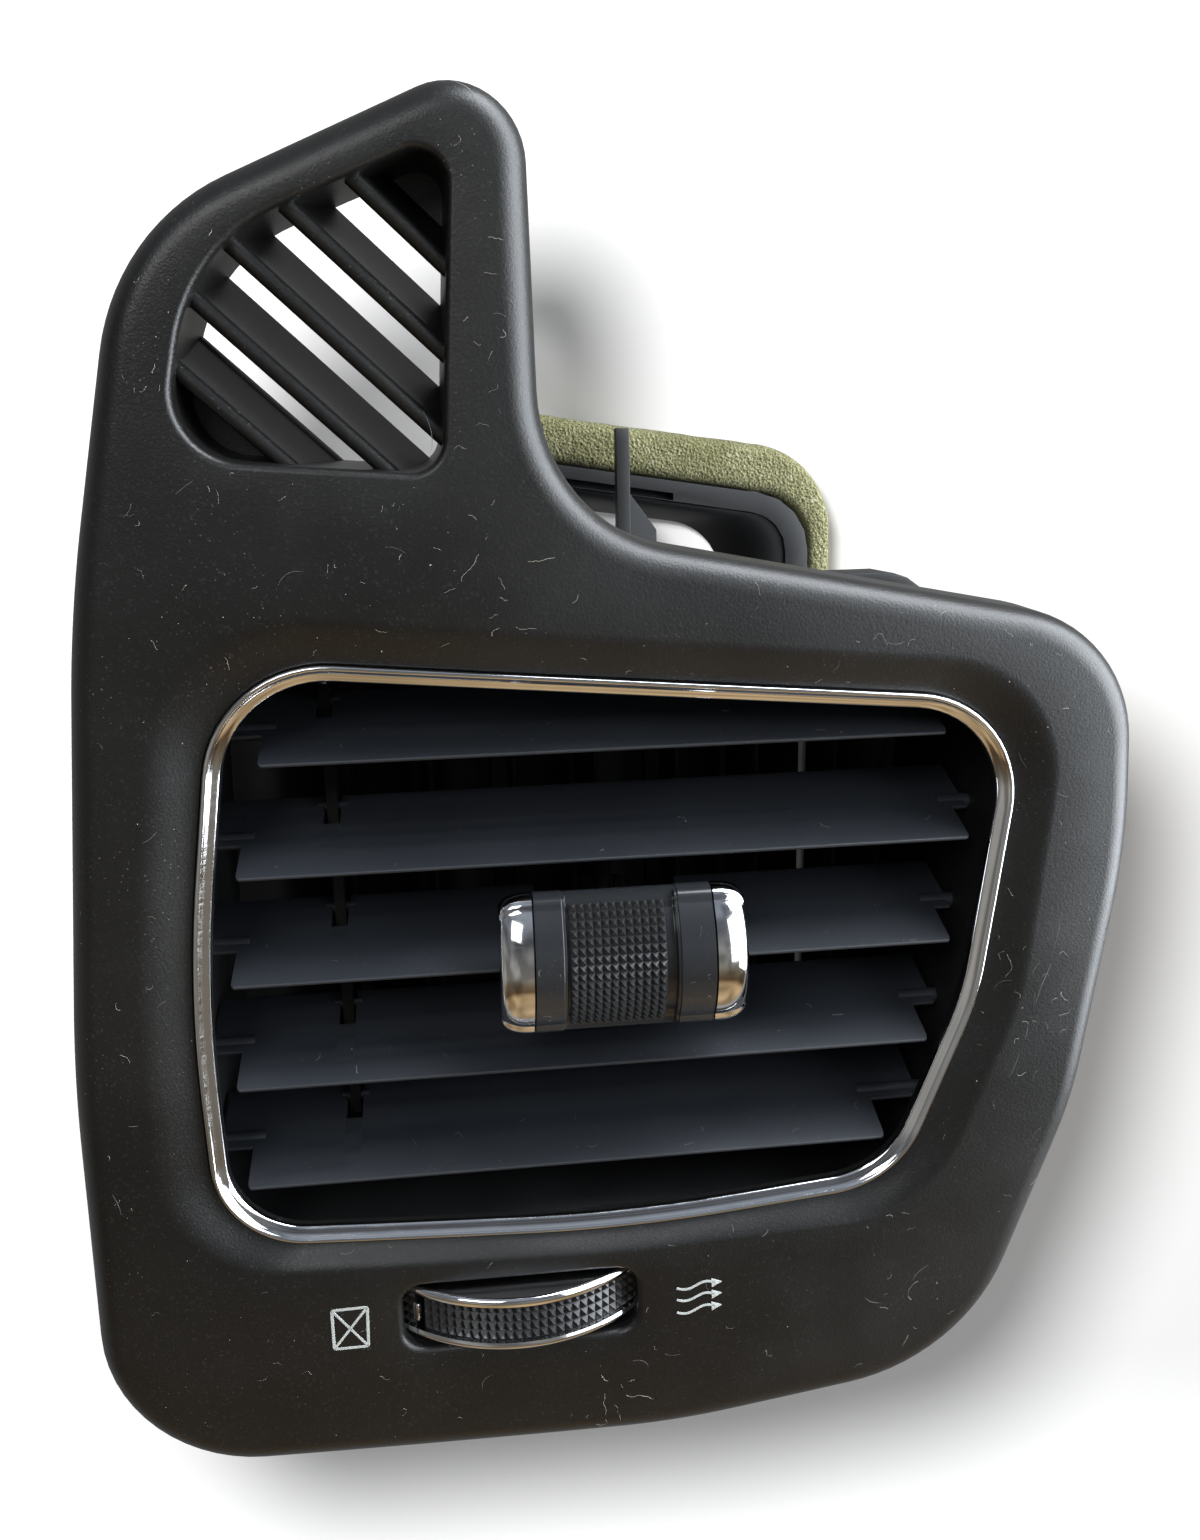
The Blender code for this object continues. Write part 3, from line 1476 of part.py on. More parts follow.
def bracket_screw_places():
    reach = WHEEL_RADIUS + BRACKET_SIDE_GAP + BRACKET_THICKNESS + 0.0050
    return [(SLOT_CENTRE_X - reach, wheel_centre_y()), (SLOT_CENTRE_X + reach, wheel_centre_y())]


def build_bracket_screws(root):
    """Screws driven from below into the barrel's floor, heads under the feet."""
    foot_low = barrel_floor() - BARREL_WALL - FIT_GAP - BRACKET_THICKNESS
    for index, place in enumerate(bracket_screw_places()):
        name = f"bracket_screw_{index + 1}"
        solid = screw(name, place, foot_low - FIT_GAP, foot_low + BRACKET_THICKNESS, "Z")
        dress(add_object(name, solid, root), "zinc_steel")


# Shutter


def throat_front():
    return barrel_back() + FIT_GAP + SHOULDER_LENGTH


def throat_back():
    return throat_front() + THROAT_LENGTH


def leaf_x(index):
    return LEAF_MIDDLE_X + LEAF_PITCH * (index - LEAF_COUNT // 2)


def build_shutter_duct(root):
    """Socket over the barrel, a shoulder that narrows, and the throat with the leaf bearings."""
    barrel = outline(BARREL_CORNERS, 4)
    throat = outline(THROAT_CORNERS, 4)
    socket_in = BARREL_WALL + FIT_GAP
    socket_front = barrel_back() - SOCKET_OVERLAP
    step = barrel_back() + FIT_GAP
    loops = [
        (grown(barrel, socket_in), socket_front),
        (grown(barrel, socket_in), step),
        (barrel, step),
        (throat, throat_front()),
        (throat, throat_back()),
        (grown(throat, DUCT_WALL), throat_back()),
        (grown(throat, DUCT_WALL), throat_front() + DUCT_WALL * 0.6),
        (grown(barrel, socket_in + DUCT_WALL), step + DUCT_WALL),
        (grown(barrel, socket_in + DUCT_WALL), socket_front),
    ]
    shell = lofted_shell("shutter_duct", loops)
    roof = THROAT_CORNERS[1][1]
    floor = THROAT_CORNERS[0][1]
    post_low = roof + DUCT_WALL * 0.5
    left = POST_X - POST_WIDTH / 2
    right = POST_X + POST_WIDTH / 2
    front = POST_Y - POST_DEPTH / 2
    post = prism(
        "post",
        [
            (front, post_low),
            (front + POST_DEPTH, post_low),
            (front + POST_DEPTH * 0.8, POST_TOP_Z - 0.0006),
            (front + POST_DEPTH * 0.7, POST_TOP_Z),
            (front + POST_DEPTH * 0.2, POST_TOP_Z),
            (front + POST_DEPTH * 0.1, POST_TOP_Z - 0.0024),
        ],
        left,
        right,
        "X",
    )
    gusset = prism(
        "gusset",
        [
            (right - 0.0005, post_low),
            (right + GUSSET_WIDTH, post_low),
            (right + GUSSET_WIDTH, GUSSET_SHOULDER_Z),
            (right, GUSSET_TOP_Z),
            (right - 0.0005, GUSSET_TOP_Z),
        ],
        POST_Y - POST_WIDTH / 2,
        POST_Y + POST_WIDTH / 2,
        "Y",
    )
    solid = joined(shell, [post, gusset])
    holes = []
    for index in range(LEAF_COUNT):
        centre = (leaf_x(index), LEAF_AXIS_Y)
        for z in (floor, roof):
            radius = LEAF_SHAFT_RADIUS + RUNNING_GAP
            holes.append(drill(radius, z - 0.004, z + 0.004, "Z", centre))
    dress(add_object("shutter_duct", cut(solid, holes), root), "plain_black")


def leaf_mesh():
    """Shutter leaf closed across the throat, with lapping lips, shaft, crank and crank pin."""
    floor = THROAT_CORNERS[0][1]
    roof = THROAT_CORNERS[1][1]
    low = floor + LEAF_END_GAP
    high = roof - LEAF_END_GAP
    half = LEAF_PITCH / 2 - LEAF_OVERLAP / 2 - FIT_GAP
    tip = LEAF_PITCH / 2 + LEAF_OVERLAP / 2
    thick = LEAF_THICKNESS / 2
    section = [
        (-tip, -thick),
        (half, -thick),
        (half, thick - LEAF_LIP),
        (tip, thick - LEAF_LIP),
        (tip, thick),
        (-half, thick),
        (-half, -thick + LEAF_LIP),
        (-tip, -thick + LEAF_LIP),
    ]
    leaf = prism("shutter", section, low, high, "Z")
    outer_floor = floor - DUCT_WALL
    crank_top = outer_floor - RUNNING_GAP
    crank_low = crank_top - CRANK_THICKNESS
    pin = (CRANK_RADIUS * math.cos(CRANK_REST), CRANK_RADIUS * math.sin(CRANK_REST))
    shaft = rod("shaft", LEAF_SHAFT_RADIUS, crank_low, roof + DUCT_WALL, "Z", (0, 0))
    side = Vector((-pin[1], pin[0])).normalized() * LEAF_SHAFT_RADIUS * 1.4
    base = Vector(pin) * -0.3
    end = Vector(pin) * 1.22
    arm_points = [base - side, base + side, end + side * 0.8, end - side * 0.8]
    arm = prism("crank", [(p.x, p.y) for p in arm_points], crank_low, crank_top, "Z")
    link_low = LINK_TOP_Z - LINK_THICKNESS
    crank_pin = rod("crank_pin", CRANK_PIN_RADIUS, link_low, crank_top - CRANK_THICKNESS / 2, "Z", pin)
    return joined(leaf, [shaft, arm, crank_pin])


def build_shutters(leaf_axes):
    solid = leaf_mesh()
    for index in range(LEAF_COUNT):
        name = f"shutter_{index + 1}"
        dress(add_object(name, solid.copy(), leaf_axes[index]), "plain_black")


def build_shutter_link(wheel):
    """Flat plate from the wheel's crank pin to the three leaf cranks."""
    pin_x = CRANK_RADIUS * math.cos(CRANK_REST)
    pin_y = CRANK_RADIUS * math.sin(CRANK_REST)
    first = leaf_x(0) - SLOT_CENTRE_X
    last = leaf_x(LEAF_COUNT - 1) - SLOT_CENTRE_X
    rear = LEAF_AXIS_Y - wheel_centre_y()
    half = LINK_WIDTH / 2
    section = [
        (-half, -half * 0.6),
        (-half * 0.6, -half),
        (half * 0.6, -half),
        (half, -half * 0.6),
        (half, rear - half * 3),
        (half * 3, rear - half),
        (last + half * 0.6, rear - half),
        (last + half, rear - half * 0.6),
        (last + half, rear + half * 0.6),
        (last + half * 0.6, rear + half),
        (first - half * 0.6, rear + half),
        (first - half, rear + half * 0.6),
        (first - half, rear - half * 0.6),
        (first - half * 0.6, rear - half),
        (-half * 3, rear - half),
        (-half, rear - half * 3),
    ]
    top = LINK_TOP_Z - WHEEL_CENTRE_Z
    plate = prism("shutter_link", section, top - LINK_THICKNESS, top, "Z")
    holes = [drill(CRANK_PIN_RADIUS + FIT_GAP, -0.02, 0.02, "Z", (0, 0))]
    for index in range(LEAF_COUNT):
        centre = (leaf_x(index) - SLOT_CENTRE_X, rear)
        holes.append(drill(CRANK_PIN_RADIUS + FIT_GAP, -0.02, 0.02, "Z", centre))
    part = add_object("shutter_link", cut(plate, holes), wheel, (pin_x, pin_y, 0))
    dress(part, "plain_black")


# Inlet collar and seal


def build_inlet_collar(root):
    """Flange with the throat's opening and the upper window, and a collar round its edge."""
    front = throat_back() + FIT_GAP
    edge = outline(COLLAR_CORNERS, 4)
    flange = slab("inlet_collar", edge, front, front + COLLAR_FLANGE)
    band = swept_ring(
        "band",
        edge,
        [
            (0.0, front + COLLAR_FLANGE * 0.5),
            (0.0, front + COLLAR_DEPTH),
            (-COLLAR_WALL, front + COLLAR_DEPTH),
            (-COLLAR_WALL, front + COLLAR_FLANGE * 0.5),
        ],
    )
    start, end, height = COLLAR_SLOT
    top_left = COLLAR_CORNERS[3]
    top_right = COLLAR_CORNERS[4]
    slope = (top_right[1] - top_left[1]) / (top_right[0] - top_left[0])
    slot_points = []
    for x, down in ((start, 0), (end, 0), (end, height), (start, height)):
        z = top_left[1] + slope * (x - top_left[0]) - COLLAR_SLOT_INSET - down
        slot_points.append((x, z))
    back = front + 0.02
    openings = [
        slab("throat_opening", outline(THROAT_CORNERS, 4), front - 0.01, back),
        slab("window", outline(WINDOW_CORNERS, 4), front - 0.01, back),
        prism("slot", slot_points, front - 0.01, front + COLLAR_FLANGE * 3, "Y"),
    ]
    solid = cut(joined(flange, [band]), openings)
    dress(add_object("inlet_collar", solid, root), "plain_black")


def build_inlet_seal(root):
    """Soft band round the collar, thicker along its top."""
    front = throat_back() + FIT_GAP
    inner = grown(outline(COLLAR_CORNERS, 5), FIT_GAP)
    outer = outline(SEAL_CORNERS, 5)
    back = front + SEAL_DEPTH
    pinched = grown(outer, -0.0020)
    loops = [
        (inner, front),
        (inner, back),
        (pinched, back),
        (outer, back - 0.0024),
        (outer, front + 0.0024),
        (pinched, front),
    ]
    dress(add_object("inlet_seal", lofted_shell("inlet_seal", loops), root), "olive_foam", 60)


def build_all():
    clear_scene()
    vent = add_empty("VENT", -FRAME_ORIGIN, None)
    build_bezel(vent)
    build_trim_ring(vent)
    build_barrel(vent)
    build_bearings(vent)
    build_bezel_screws(vent)
    build_clips(vent)
    build_wheel_bracket(vent)
    build_bracket_screws(vent)
    build_shutter_duct(vent)
    build_inlet_collar(vent)
    build_inlet_seal(vent)
    blade_axes = []
    for index in range(BLADE_COUNT):
        axis = add_empty(f"BLADE_AXIS_{index + 1}", (0, BLADE_AXIS_Y, blade_z(index)), vent)
        axis.rotation_euler = (BLADE_REST_TILT, 0, 0)
        blade_axes.append(axis)
    build_blades(blade_axes)
    build_blade_tie_bar(blade_axes[BLADE_COUNT // 2])
    knob = add_empty("KNOB", (KNOB_X, BLADE_AXIS_Y, MIDDLE_BLADE_Z), vent)
    build_knob_body(knob)
    build_knob_grip(knob)
    build_knob_caps(knob)
    build_knob_slider(knob)
    vane_axes = []
    for index in range(VANE_COUNT):
        vane_axes.append(add_empty(f"VANE_AXIS_{index + 1}", (vane_x(index), VANE_AXIS_Y, MIDDLE_BLADE_Z), vent))
    build_vanes(vane_axes)
    build_vane_tie_bar(vane_axes[VANE_COUNT // 2])
    wheel = add_empty("WHEEL", (SLOT_CENTRE_X, wheel_centre_y(), WHEEL_CENTRE_Z), vent)
    build_wheel_hub(wheel)
    build_wheel_grip(wheel)
    build_wheel_marker(wheel)
    build_wheel_rims(wheel)
    build_shutter_link(wheel)
    leaf_axes = []
    for index in range(LEAF_COUNT):
        leaf_axes.append(add_empty(f"LEAF_AXIS_{index + 1}", (leaf_x(index), LEAF_AXIS_Y, 0), vent))
    build_shutters(leaf_axes)
    bpy.context.view_layer.update()


build_all()
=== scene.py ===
# %% [markdown]
# # A dashboard air vent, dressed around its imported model
#
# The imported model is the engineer's version: every piece is there, each moves as it should, but
# curves are made of few facets and the surfaces are plain. This lesson keeps every piece in its
# place and gives it the surface that the eye expects: rolled plastic edges, chrome that is really
# round, a knurl for the fingertip, open-cell foam, dust and lint.
#
# All lengths are metres. Places on the front are written as they are measured from the middle of
# the bezel's face, with X to the right, Y into the dashboard and Z up, and `seat` moves them to
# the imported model's own origin, which lies on a fixing tab.

import json
import math

import bmesh
import bpy
import numpy as np
from mathutils import Matrix, Vector
from mathutils.geometry import delaunay_2d_cdt

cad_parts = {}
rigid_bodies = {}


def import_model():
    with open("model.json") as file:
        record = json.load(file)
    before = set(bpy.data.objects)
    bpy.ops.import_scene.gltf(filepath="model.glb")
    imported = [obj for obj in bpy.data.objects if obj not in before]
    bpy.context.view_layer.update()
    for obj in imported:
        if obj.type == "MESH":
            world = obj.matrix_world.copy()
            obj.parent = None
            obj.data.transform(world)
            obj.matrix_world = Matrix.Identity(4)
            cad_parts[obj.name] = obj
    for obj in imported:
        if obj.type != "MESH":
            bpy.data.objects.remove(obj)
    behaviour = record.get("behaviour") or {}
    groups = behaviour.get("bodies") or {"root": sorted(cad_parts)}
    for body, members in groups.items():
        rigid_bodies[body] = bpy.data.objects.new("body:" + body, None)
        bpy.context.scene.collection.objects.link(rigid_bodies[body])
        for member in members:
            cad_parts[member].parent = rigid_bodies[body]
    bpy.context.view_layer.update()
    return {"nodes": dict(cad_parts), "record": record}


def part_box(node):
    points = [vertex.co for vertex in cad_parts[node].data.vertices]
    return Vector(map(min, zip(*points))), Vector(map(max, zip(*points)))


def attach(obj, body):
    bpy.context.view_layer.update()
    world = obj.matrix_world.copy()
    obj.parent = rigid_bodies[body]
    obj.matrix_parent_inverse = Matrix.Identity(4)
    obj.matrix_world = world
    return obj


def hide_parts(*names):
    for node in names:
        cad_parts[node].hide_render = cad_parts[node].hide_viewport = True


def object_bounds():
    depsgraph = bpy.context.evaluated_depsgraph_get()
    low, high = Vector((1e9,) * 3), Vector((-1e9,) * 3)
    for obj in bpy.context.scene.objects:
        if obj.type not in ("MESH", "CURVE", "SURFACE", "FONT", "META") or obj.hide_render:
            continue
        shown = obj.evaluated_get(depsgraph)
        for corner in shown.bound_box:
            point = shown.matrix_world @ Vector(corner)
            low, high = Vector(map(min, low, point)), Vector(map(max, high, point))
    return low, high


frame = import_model()
FACE_ORIGIN = np.array([0.0480, 0.0160, -0.1110])
GAP = 0.0003


def seat(points):
    """Points measured from the face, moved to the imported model's frame: point minus origin."""
    return np.asarray(points, float) - FACE_ORIGIN


# %% [markdown]
# ## Small tools for surfaces
#
# Nearly every moulded form can be drawn as a grid: one direction runs round or along the piece,
# the other runs across its section. If a whole grid is worked out at once with numpy, the shape
# is just a formula, and the faces between neighbouring points follow a fixed pattern.

# %% Grids of points become meshes


class Shape:
    """Collects points and faces of one piece before they become a mesh."""

    def __init__(self):
        self.points = []
        self.faces = []
        self.count = 0

    def add(self, points, faces):
        """Adds points and faces; the faces count from the first of these points."""
        points = np.asarray(points, float).reshape(-1, 3)
        for block in faces:
            self.faces.append(np.asarray(block, int) + self.count)
        self.points.append(points)
        self.count += len(points)
        return self

    def grid(self, points, around=False, along=False):
        """A grid of rows and columns; around closes each row, along joins the last row to the first."""
        rows, columns = points.shape[:2]
        index = np.arange(rows * columns).reshape(rows, columns)
        if around:
            index = np.concatenate([index, index[:, :1]], axis=1)
        if along:
            index = np.concatenate([index, index[:1]], axis=0)
        quads = np.stack([index[:-1, :-1], index[:-1, 1:], index[1:, 1:], index[1:, :-1]], axis=-1)
        return self.add(points, [quads.reshape(-1, 4)])

    def capped(self, loops):
        """A run of closed loops with a flat face over its first and last loop."""
        self.grid(np.asarray(loops), around=True)
        for end in (loops[0], loops[-1]):
            self.add(end, [np.arange(len(end))[None]])
        return self

    def walled(self, top, under):
        """Walls that join the four edges of a grid to those of the grid under it."""
        for cut in (0, -1, (slice(None), 0), (slice(None), -1)):
            self.grid(np.stack([top[cut], under[cut]]))
        return self

    def box(self, low, high):
        """A plain box between two corners."""
        x, y, z = zip(low, high)
        corners = [(x[i], y[j], z[k]) for i in (0, 1) for j in (0, 1) for k in (0, 1)]
        sides = [(0, 1, 3, 2), (4, 6, 7, 5), (0, 4, 5, 1), (2, 3, 7, 6), (0, 2, 6, 4), (1, 5, 7, 3)]
        return self.add(corners, [sides])

    def finish(self, name, look, smooth=40, merge=2e-6, turn=True):
        """Makes the object: merges doubles, turns the faces outwards and keeps sharp edges sharp."""
        mesh = bpy.data.meshes.new(name)
        faces = [tuple(face) for block in self.faces for face in block.tolist()]
        mesh.from_pydata(np.concatenate(self.points).tolist(), [], faces)
        work = bmesh.new()
        work.from_mesh(mesh)
        if merge:
            bmesh.ops.remove_doubles(work, verts=work.verts, dist=merge)
        if turn:
            bmesh.ops.recalc_face_normals(work, faces=work.faces)
        work.to_mesh(mesh)
        work.free()
        mesh.shade_smooth()
        mesh.set_sharp_from_angle(angle=math.radians(smooth))
        return place(name, mesh, look)


def place(name, mesh, look):
    """A named object with its material, at the origin."""
    piece = bpy.data.objects.new(name, mesh)
    bpy.context.collection.objects.link(piece)
    mesh.materials.clear()
    mesh.materials.append(look)
    return piece


def smoothstep(value):
    """0 below 0, 1 above 1 and an S-curve between: 3v^2 - 2v^3."""
    value = np.clip(value, 0.0, 1.0)
    return value * value * (3 - 2 * value)


# %% [markdown]
# ## Outlines
#
# The bezel, the ring and the openings are all polygons with rounded corners. An arc at every
# corner and evenly spread points on the straight runs give each outline the same number of
# points for the same number of corners, so two outlines can be joined point to point.

# %% Rounded outlines


def rounded(corners, arc_steps=14, line_steps=10):
    """Closed outline: at each corner an arc of its radius, touching both neighbouring lines."""
    data = np.array(corners, float)
    point, radius = data[:, :2], data[:, 2]
    back = np.roll(point, 1, axis=0) - point
    ahead = np.roll(point, -1, axis=0) - point
    back /= np.linalg.norm(back, axis=1)[:, None]
    ahead /= np.linalg.norm(ahead, axis=1)[:, None]
    half = np.arccos(np.clip((back * ahead).sum(1), -1, 1)) / 2
    middle = back + ahead
    middle /= np.linalg.norm(middle, axis=1)[:, None]
    centre = point + middle * (radius / np.sin(half))[:, None]
    reach = (radius / np.tan(half))[:, None]
    first, last = point + back * reach - centre, point + ahead * reach - centre
    start = np.arctan2(first[:, 1], first[:, 0])
    turn = np.arctan2(first[:, 0] * last[:, 1] - first[:, 1] * last[:, 0], (first * last).sum(1))
    share = np.linspace(0, 1, arc_steps + 1)
    angle = start[:, None] + turn[:, None] * share
    arcs = centre[:, None] + radius[:, None, None] * np.stack([np.cos(angle), np.sin(angle)], axis=-1)
    gap = np.roll(arcs[:, 0], -1, axis=0) - arcs[:, -1]
    steps = np.linspace(0, 1, line_steps + 1)[1:-1]
    lines = arcs[:, -1][:, None] + gap[:, None] * steps[:, None]
    return np.concatenate([arcs, lines], axis=1).reshape(-1, 2)


def outward(points):
    """Unit normals that point out of a closed outline."""
    tangent = np.roll(points, -1, axis=0) - np.roll(points, 1, axis=0)
    tangent /= np.linalg.norm(tangent, axis=1)[:, None]
    following = np.roll(points, -1, axis=0)
    area = (points[:, 0] * following[:, 1] - following[:, 0] * points[:, 1]).sum()
    side = 1 if area > 0 else -1
    return np.stack([tangent[:, 1], -tangent[:, 0]], axis=1) * side


def grown(points, distance):
    """The outline moved outwards by a distance."""
    return points + outward(points) * distance


def distance_to(points, loop):
    """Distance from each point to the nearest place on a closed outline."""
    start = loop[None]
    edge = (np.roll(loop, -1, axis=0) - loop)[None]
    offset = points[:, None] - start
    share = np.clip((offset * edge).sum(-1) / (edge * edge).sum(-1), 0, 1)
    return np.linalg.norm(offset - edge * share[..., None], axis=-1).min(1)


def inside(points, loop):
    """True for the points within a closed outline, by counting crossings of a level ray."""
    x, z = points[:, :1], points[:, 1:]
    x0, z0 = loop[:, 0], loop[:, 1]
    x1, z1 = np.roll(x0, -1), np.roll(z0, -1)
    rise = np.where(np.abs(z1 - z0) < 1e-12, 1e-12, z1 - z0)
    crossing = ((z0 > z) != (z1 > z)) & (x < x0 + (z - z0) / rise * (x1 - x0))
    return crossing.sum(1) % 2 == 1


# %% [markdown]
# ## One measured front
#
# The corner points below are the outlines of the real front, read from its picture with the
# camera's tilt taken out. The face is very slightly crowned, the outlet lies in a shallow funnel,
# and the outer edge rolls back on a small radius. One function gives the depth of this whole
# surface at any place, so that prints, scratches, lint and dust can all be laid on it later.

# %% Outlines and depth of the front
BEZEL = rounded(
    [
        (-0.0913, -0.1276, 0.027),
        (-0.0889, -0.0502, 0.300),
        (-0.0799, 0.0273, 0.250),
        (-0.0672, 0.0821, 0.034),
        (-0.0084, 0.1064, 0.011),
        (-0.0075, 0.0384, 0.025),
        (0.0907, 0.0187, 0.025),
        (0.0930, -0.0193, 0.120),
        (0.0865, -0.0677, 0.080),
        (0.0679, -0.1213, 0.037),
        (0.0116, -0.1286, 0.155),
    ]
)
CREST = rounded(
    [
        (-0.0768, -0.0880, 0.021),
        (-0.0768, -0.0350, 0.250),
        (-0.0676, 0.0288, 0.024),
        (0.0798, 0.0140, 0.022),
        (0.0746, -0.0458, 0.060),
        (0.0590, -0.0872, 0.024),
        (0.0040, -0.0892, 0.300),
    ]
)
OUTLET = rounded(
    [
        (-0.0679, -0.0829, 0.016),
        (-0.0684, -0.0357, 0.235),
        (-0.0596, 0.0199, 0.020),
        (0.0733, 0.0077, 0.019),
        (0.0667, -0.0462, 0.057),
        (0.0532, -0.0815, 0.019),
        (0.0036, -0.0858, 0.300),
    ]
)
TOWER_FACE = rounded(
    [(-0.0645, 0.0490, 0.0104), (-0.0571, 0.0800, 0.0275), (-0.0182, 0.0952, 0.0053), (-0.0216, 0.0454, 0.0060)]
)
TOWER_MOUTH = rounded(
    [(-0.0630, 0.0502, 0.0095), (-0.0562, 0.0791, 0.0262), (-0.0193, 0.0936, 0.0044), (-0.0225, 0.0467, 0.0052)]
)


def rectangle(centre, half, corner, arc_steps, line_steps):
    """Outline of a rectangle with rounded corners."""
    signs = ((-1, -1), (-1, 1), (1, 1), (1, -1))
    corners = [(centre[0] + sx * half[0], centre[1] + sz * half[1], corner) for sx, sz in signs]
    return rounded(corners, arc_steps, line_steps)


SLOT_CENTRE = (-0.0163, -0.0990)
SLOT_HALF = (0.0209, 0.0065)
SLOT = rectangle(SLOT_CENTRE, SLOT_HALF, 0.0038, 10, 12)
EDGE_RADIUS = 0.0048
WALL = 0.0024
SKIRT = 0.0145
CROWN_RADIUS = 2.6
FUNNEL_DEPTH = 0.0028
REBATE = 0.0012
RIM = 0.0010
RING_WIDTH = 0.0027
EDGE_LOOP = grown(BEZEL, -EDGE_RADIUS)


def crown(points):
    """How far the face falls back from its middle line: x^2 over twice the radius."""
    return points[..., 0] ** 2 / (2 * CROWN_RADIUS)


def funnel_curve(share):
    """Depth share of the funnel from the crest (0) to the outlet (1): half power curve, half S-curve."""
    return 0.5 * (np.clip(share, 0, 1) ** 1.45 + smoothstep(share))


def face_depth(points):
    """Depth of the front: crown, plus the funnel between crest and outlet, plus the rolled edge."""
    points = np.asarray(points, float)
    to_outlet = distance_to(points, OUTLET)
    to_crest = distance_to(points, CREST)
    in_funnel = inside(points, CREST) & ~inside(points, OUTLET)
    share = to_crest / np.maximum(to_crest + to_outlet, 1e-9)
    depth = crown(points) + np.where(in_funnel, FUNNEL_DEPTH * funnel_curve(share), 0.0)
    from_edge = distance_to(points, BEZEL)
    short = np.clip(EDGE_RADIUS - from_edge, 0, EDGE_RADIUS)
    return depth + EDGE_RADIUS - np.sqrt(EDGE_RADIUS**2 - short**2)


def flat_at(points, depth):
    """Points of the front's plane laid at a depth, or each at its own, in the model's frame."""
    return seat(np.stack(np.broadcast_arrays(points[..., 0], depth, points[..., 1]), axis=-1))


def loop_at(points, depth):
    """A loop of the front's outline points, given a depth behind the crowned face."""
    return flat_at(points, depth + crown(points))


print("outline points", len(BEZEL), len(OUTLET), len(TOWER_FACE), len(SLOT))

# %% [markdown]
# ## Shader maths that reads like algebra
#
# A material is a small program. Written node by node it is hard to follow, so a socket is wrapped
# in a class here, and adding or multiplying two wrapped sockets adds the Math node for it. All
# other nodes come from one method that sets their settings first and then their inputs. The same
# method serves the paper, the lamp and the room round the part.

# %% Wrapped sockets


class Wire:
    """A value socket with + and * as Math nodes."""

    def __init__(self, sheet, socket):
        self.sheet = sheet
        self.socket = socket

    def maths(self, operation, first, second):
        return self.sheet.node("ShaderNodeMath", {"operation": operation}, {0: first, 1: second})

    def __add__(self, other):
        return self.maths("ADD", self, other)

    def __radd__(self, other):
        return self.maths("ADD", other, self)

    def __mul__(self, other):
        return self.maths("MULTIPLY", self, other)

    def __rmul__(self, other):
        return self.maths("MULTIPLY", other, self)


class Sheet:
    """The node tree of a material, a lamp or the world."""

    def __init__(self, owner):
        owner.use_nodes = True
        self.tree = owner.node_tree

    def node(self, kind, settings=None, inputs=None, output=0):
        """Adds a node: its settings first, then values or wires for its sockets; gives one output."""
        made = self.tree.nodes.new(kind)
        for name, value in (settings or {}).items():
            setattr(made, name, value)
        for key, value in (inputs or {}).items():
            if isinstance(value, Wire):
                self.tree.links.new(value.socket, made.inputs[key])
            else:
                made.inputs[key].default_value = value
        return Wire(self, made.outputs[output])

    def feed(self, wire, node, key):
        """Links a wire to a socket of a node that the tree already has."""
        self.tree.links.new(wire.socket, self.tree.nodes[node].inputs[key])

    def mix(self, share, first, second):
        """Colour between two colours; a plain tuple is a fixed colour."""
        first, second = (side if isinstance(side, Wire) else (*side, 1.0) for side in (first, second))
        return self.node("ShaderNodeMix", {"data_type": "RGBA"}, {0: share, 6: first, 7: second}, 2)


class Finish(Sheet):
    """A material around its Principled shader."""

    def __init__(self, name, colour, roughness, metallic=0.0):
        self.material = bpy.data.materials.new(name)
        super().__init__(self.material)
        self.shader = self.tree.nodes["Principled BSDF"]
        self.shader.inputs["Base Color"].default_value = (*colour, 1.0)
        self.shader.inputs["Roughness"].default_value = roughness
        self.shader.inputs["Metallic"].default_value = metallic
        self.material.diffuse_color = (*colour, 1.0)

    def spot(self):
        """Object coordinates of the shaded point."""
        return self.node("ShaderNodeTexCoord", output=3)

    def noise(self, scale, detail, roughness=0.5, stretch=None):
        """Noise of so many features per metre; stretch scales the axes before it."""
        at = self.spot()
        if stretch:
            at = self.node("ShaderNodeMapping", {}, {0: at, 3: stretch})
        inputs = {"Vector": at, "Scale": scale, "Detail": detail, "Roughness": roughness}
        return self.node("ShaderNodeTexNoise", {}, inputs)

    def cells(self, scale, output=0):
        """Scattered points, so many per metre: 0 the distance to the nearest, 1 its random colour."""
        return self.node("ShaderNodeTexVoronoi", {}, {"Vector": self.spot(), "Scale": scale}, output)

    def between(self, value, low, high, to_low=0.0, to_high=1.0):
        """Maps low...high to to_low...to_high with a soft start and end, and clamps."""
        return self.node(
            "ShaderNodeMapRange",
            {"interpolation_type": "SMOOTHSTEP"},
            {0: value, 1: low, 2: high, 3: to_low, 4: to_high},
        )

    def bump(self, height, depth, strength=1.0):
        """A bump whose full height is depth metres."""
        return self.node("ShaderNodeBump", {}, {"Strength": strength, "Distance": depth, "Height": height})

    def set(self, **wires):
        """Links wires to the shader's sockets; an underscore in a name stands for a space."""
        for name, wire in wires.items():
            self.tree.links.new(wire.socket, self.shader.inputs[name.replace("_", " ")])
        return self.material
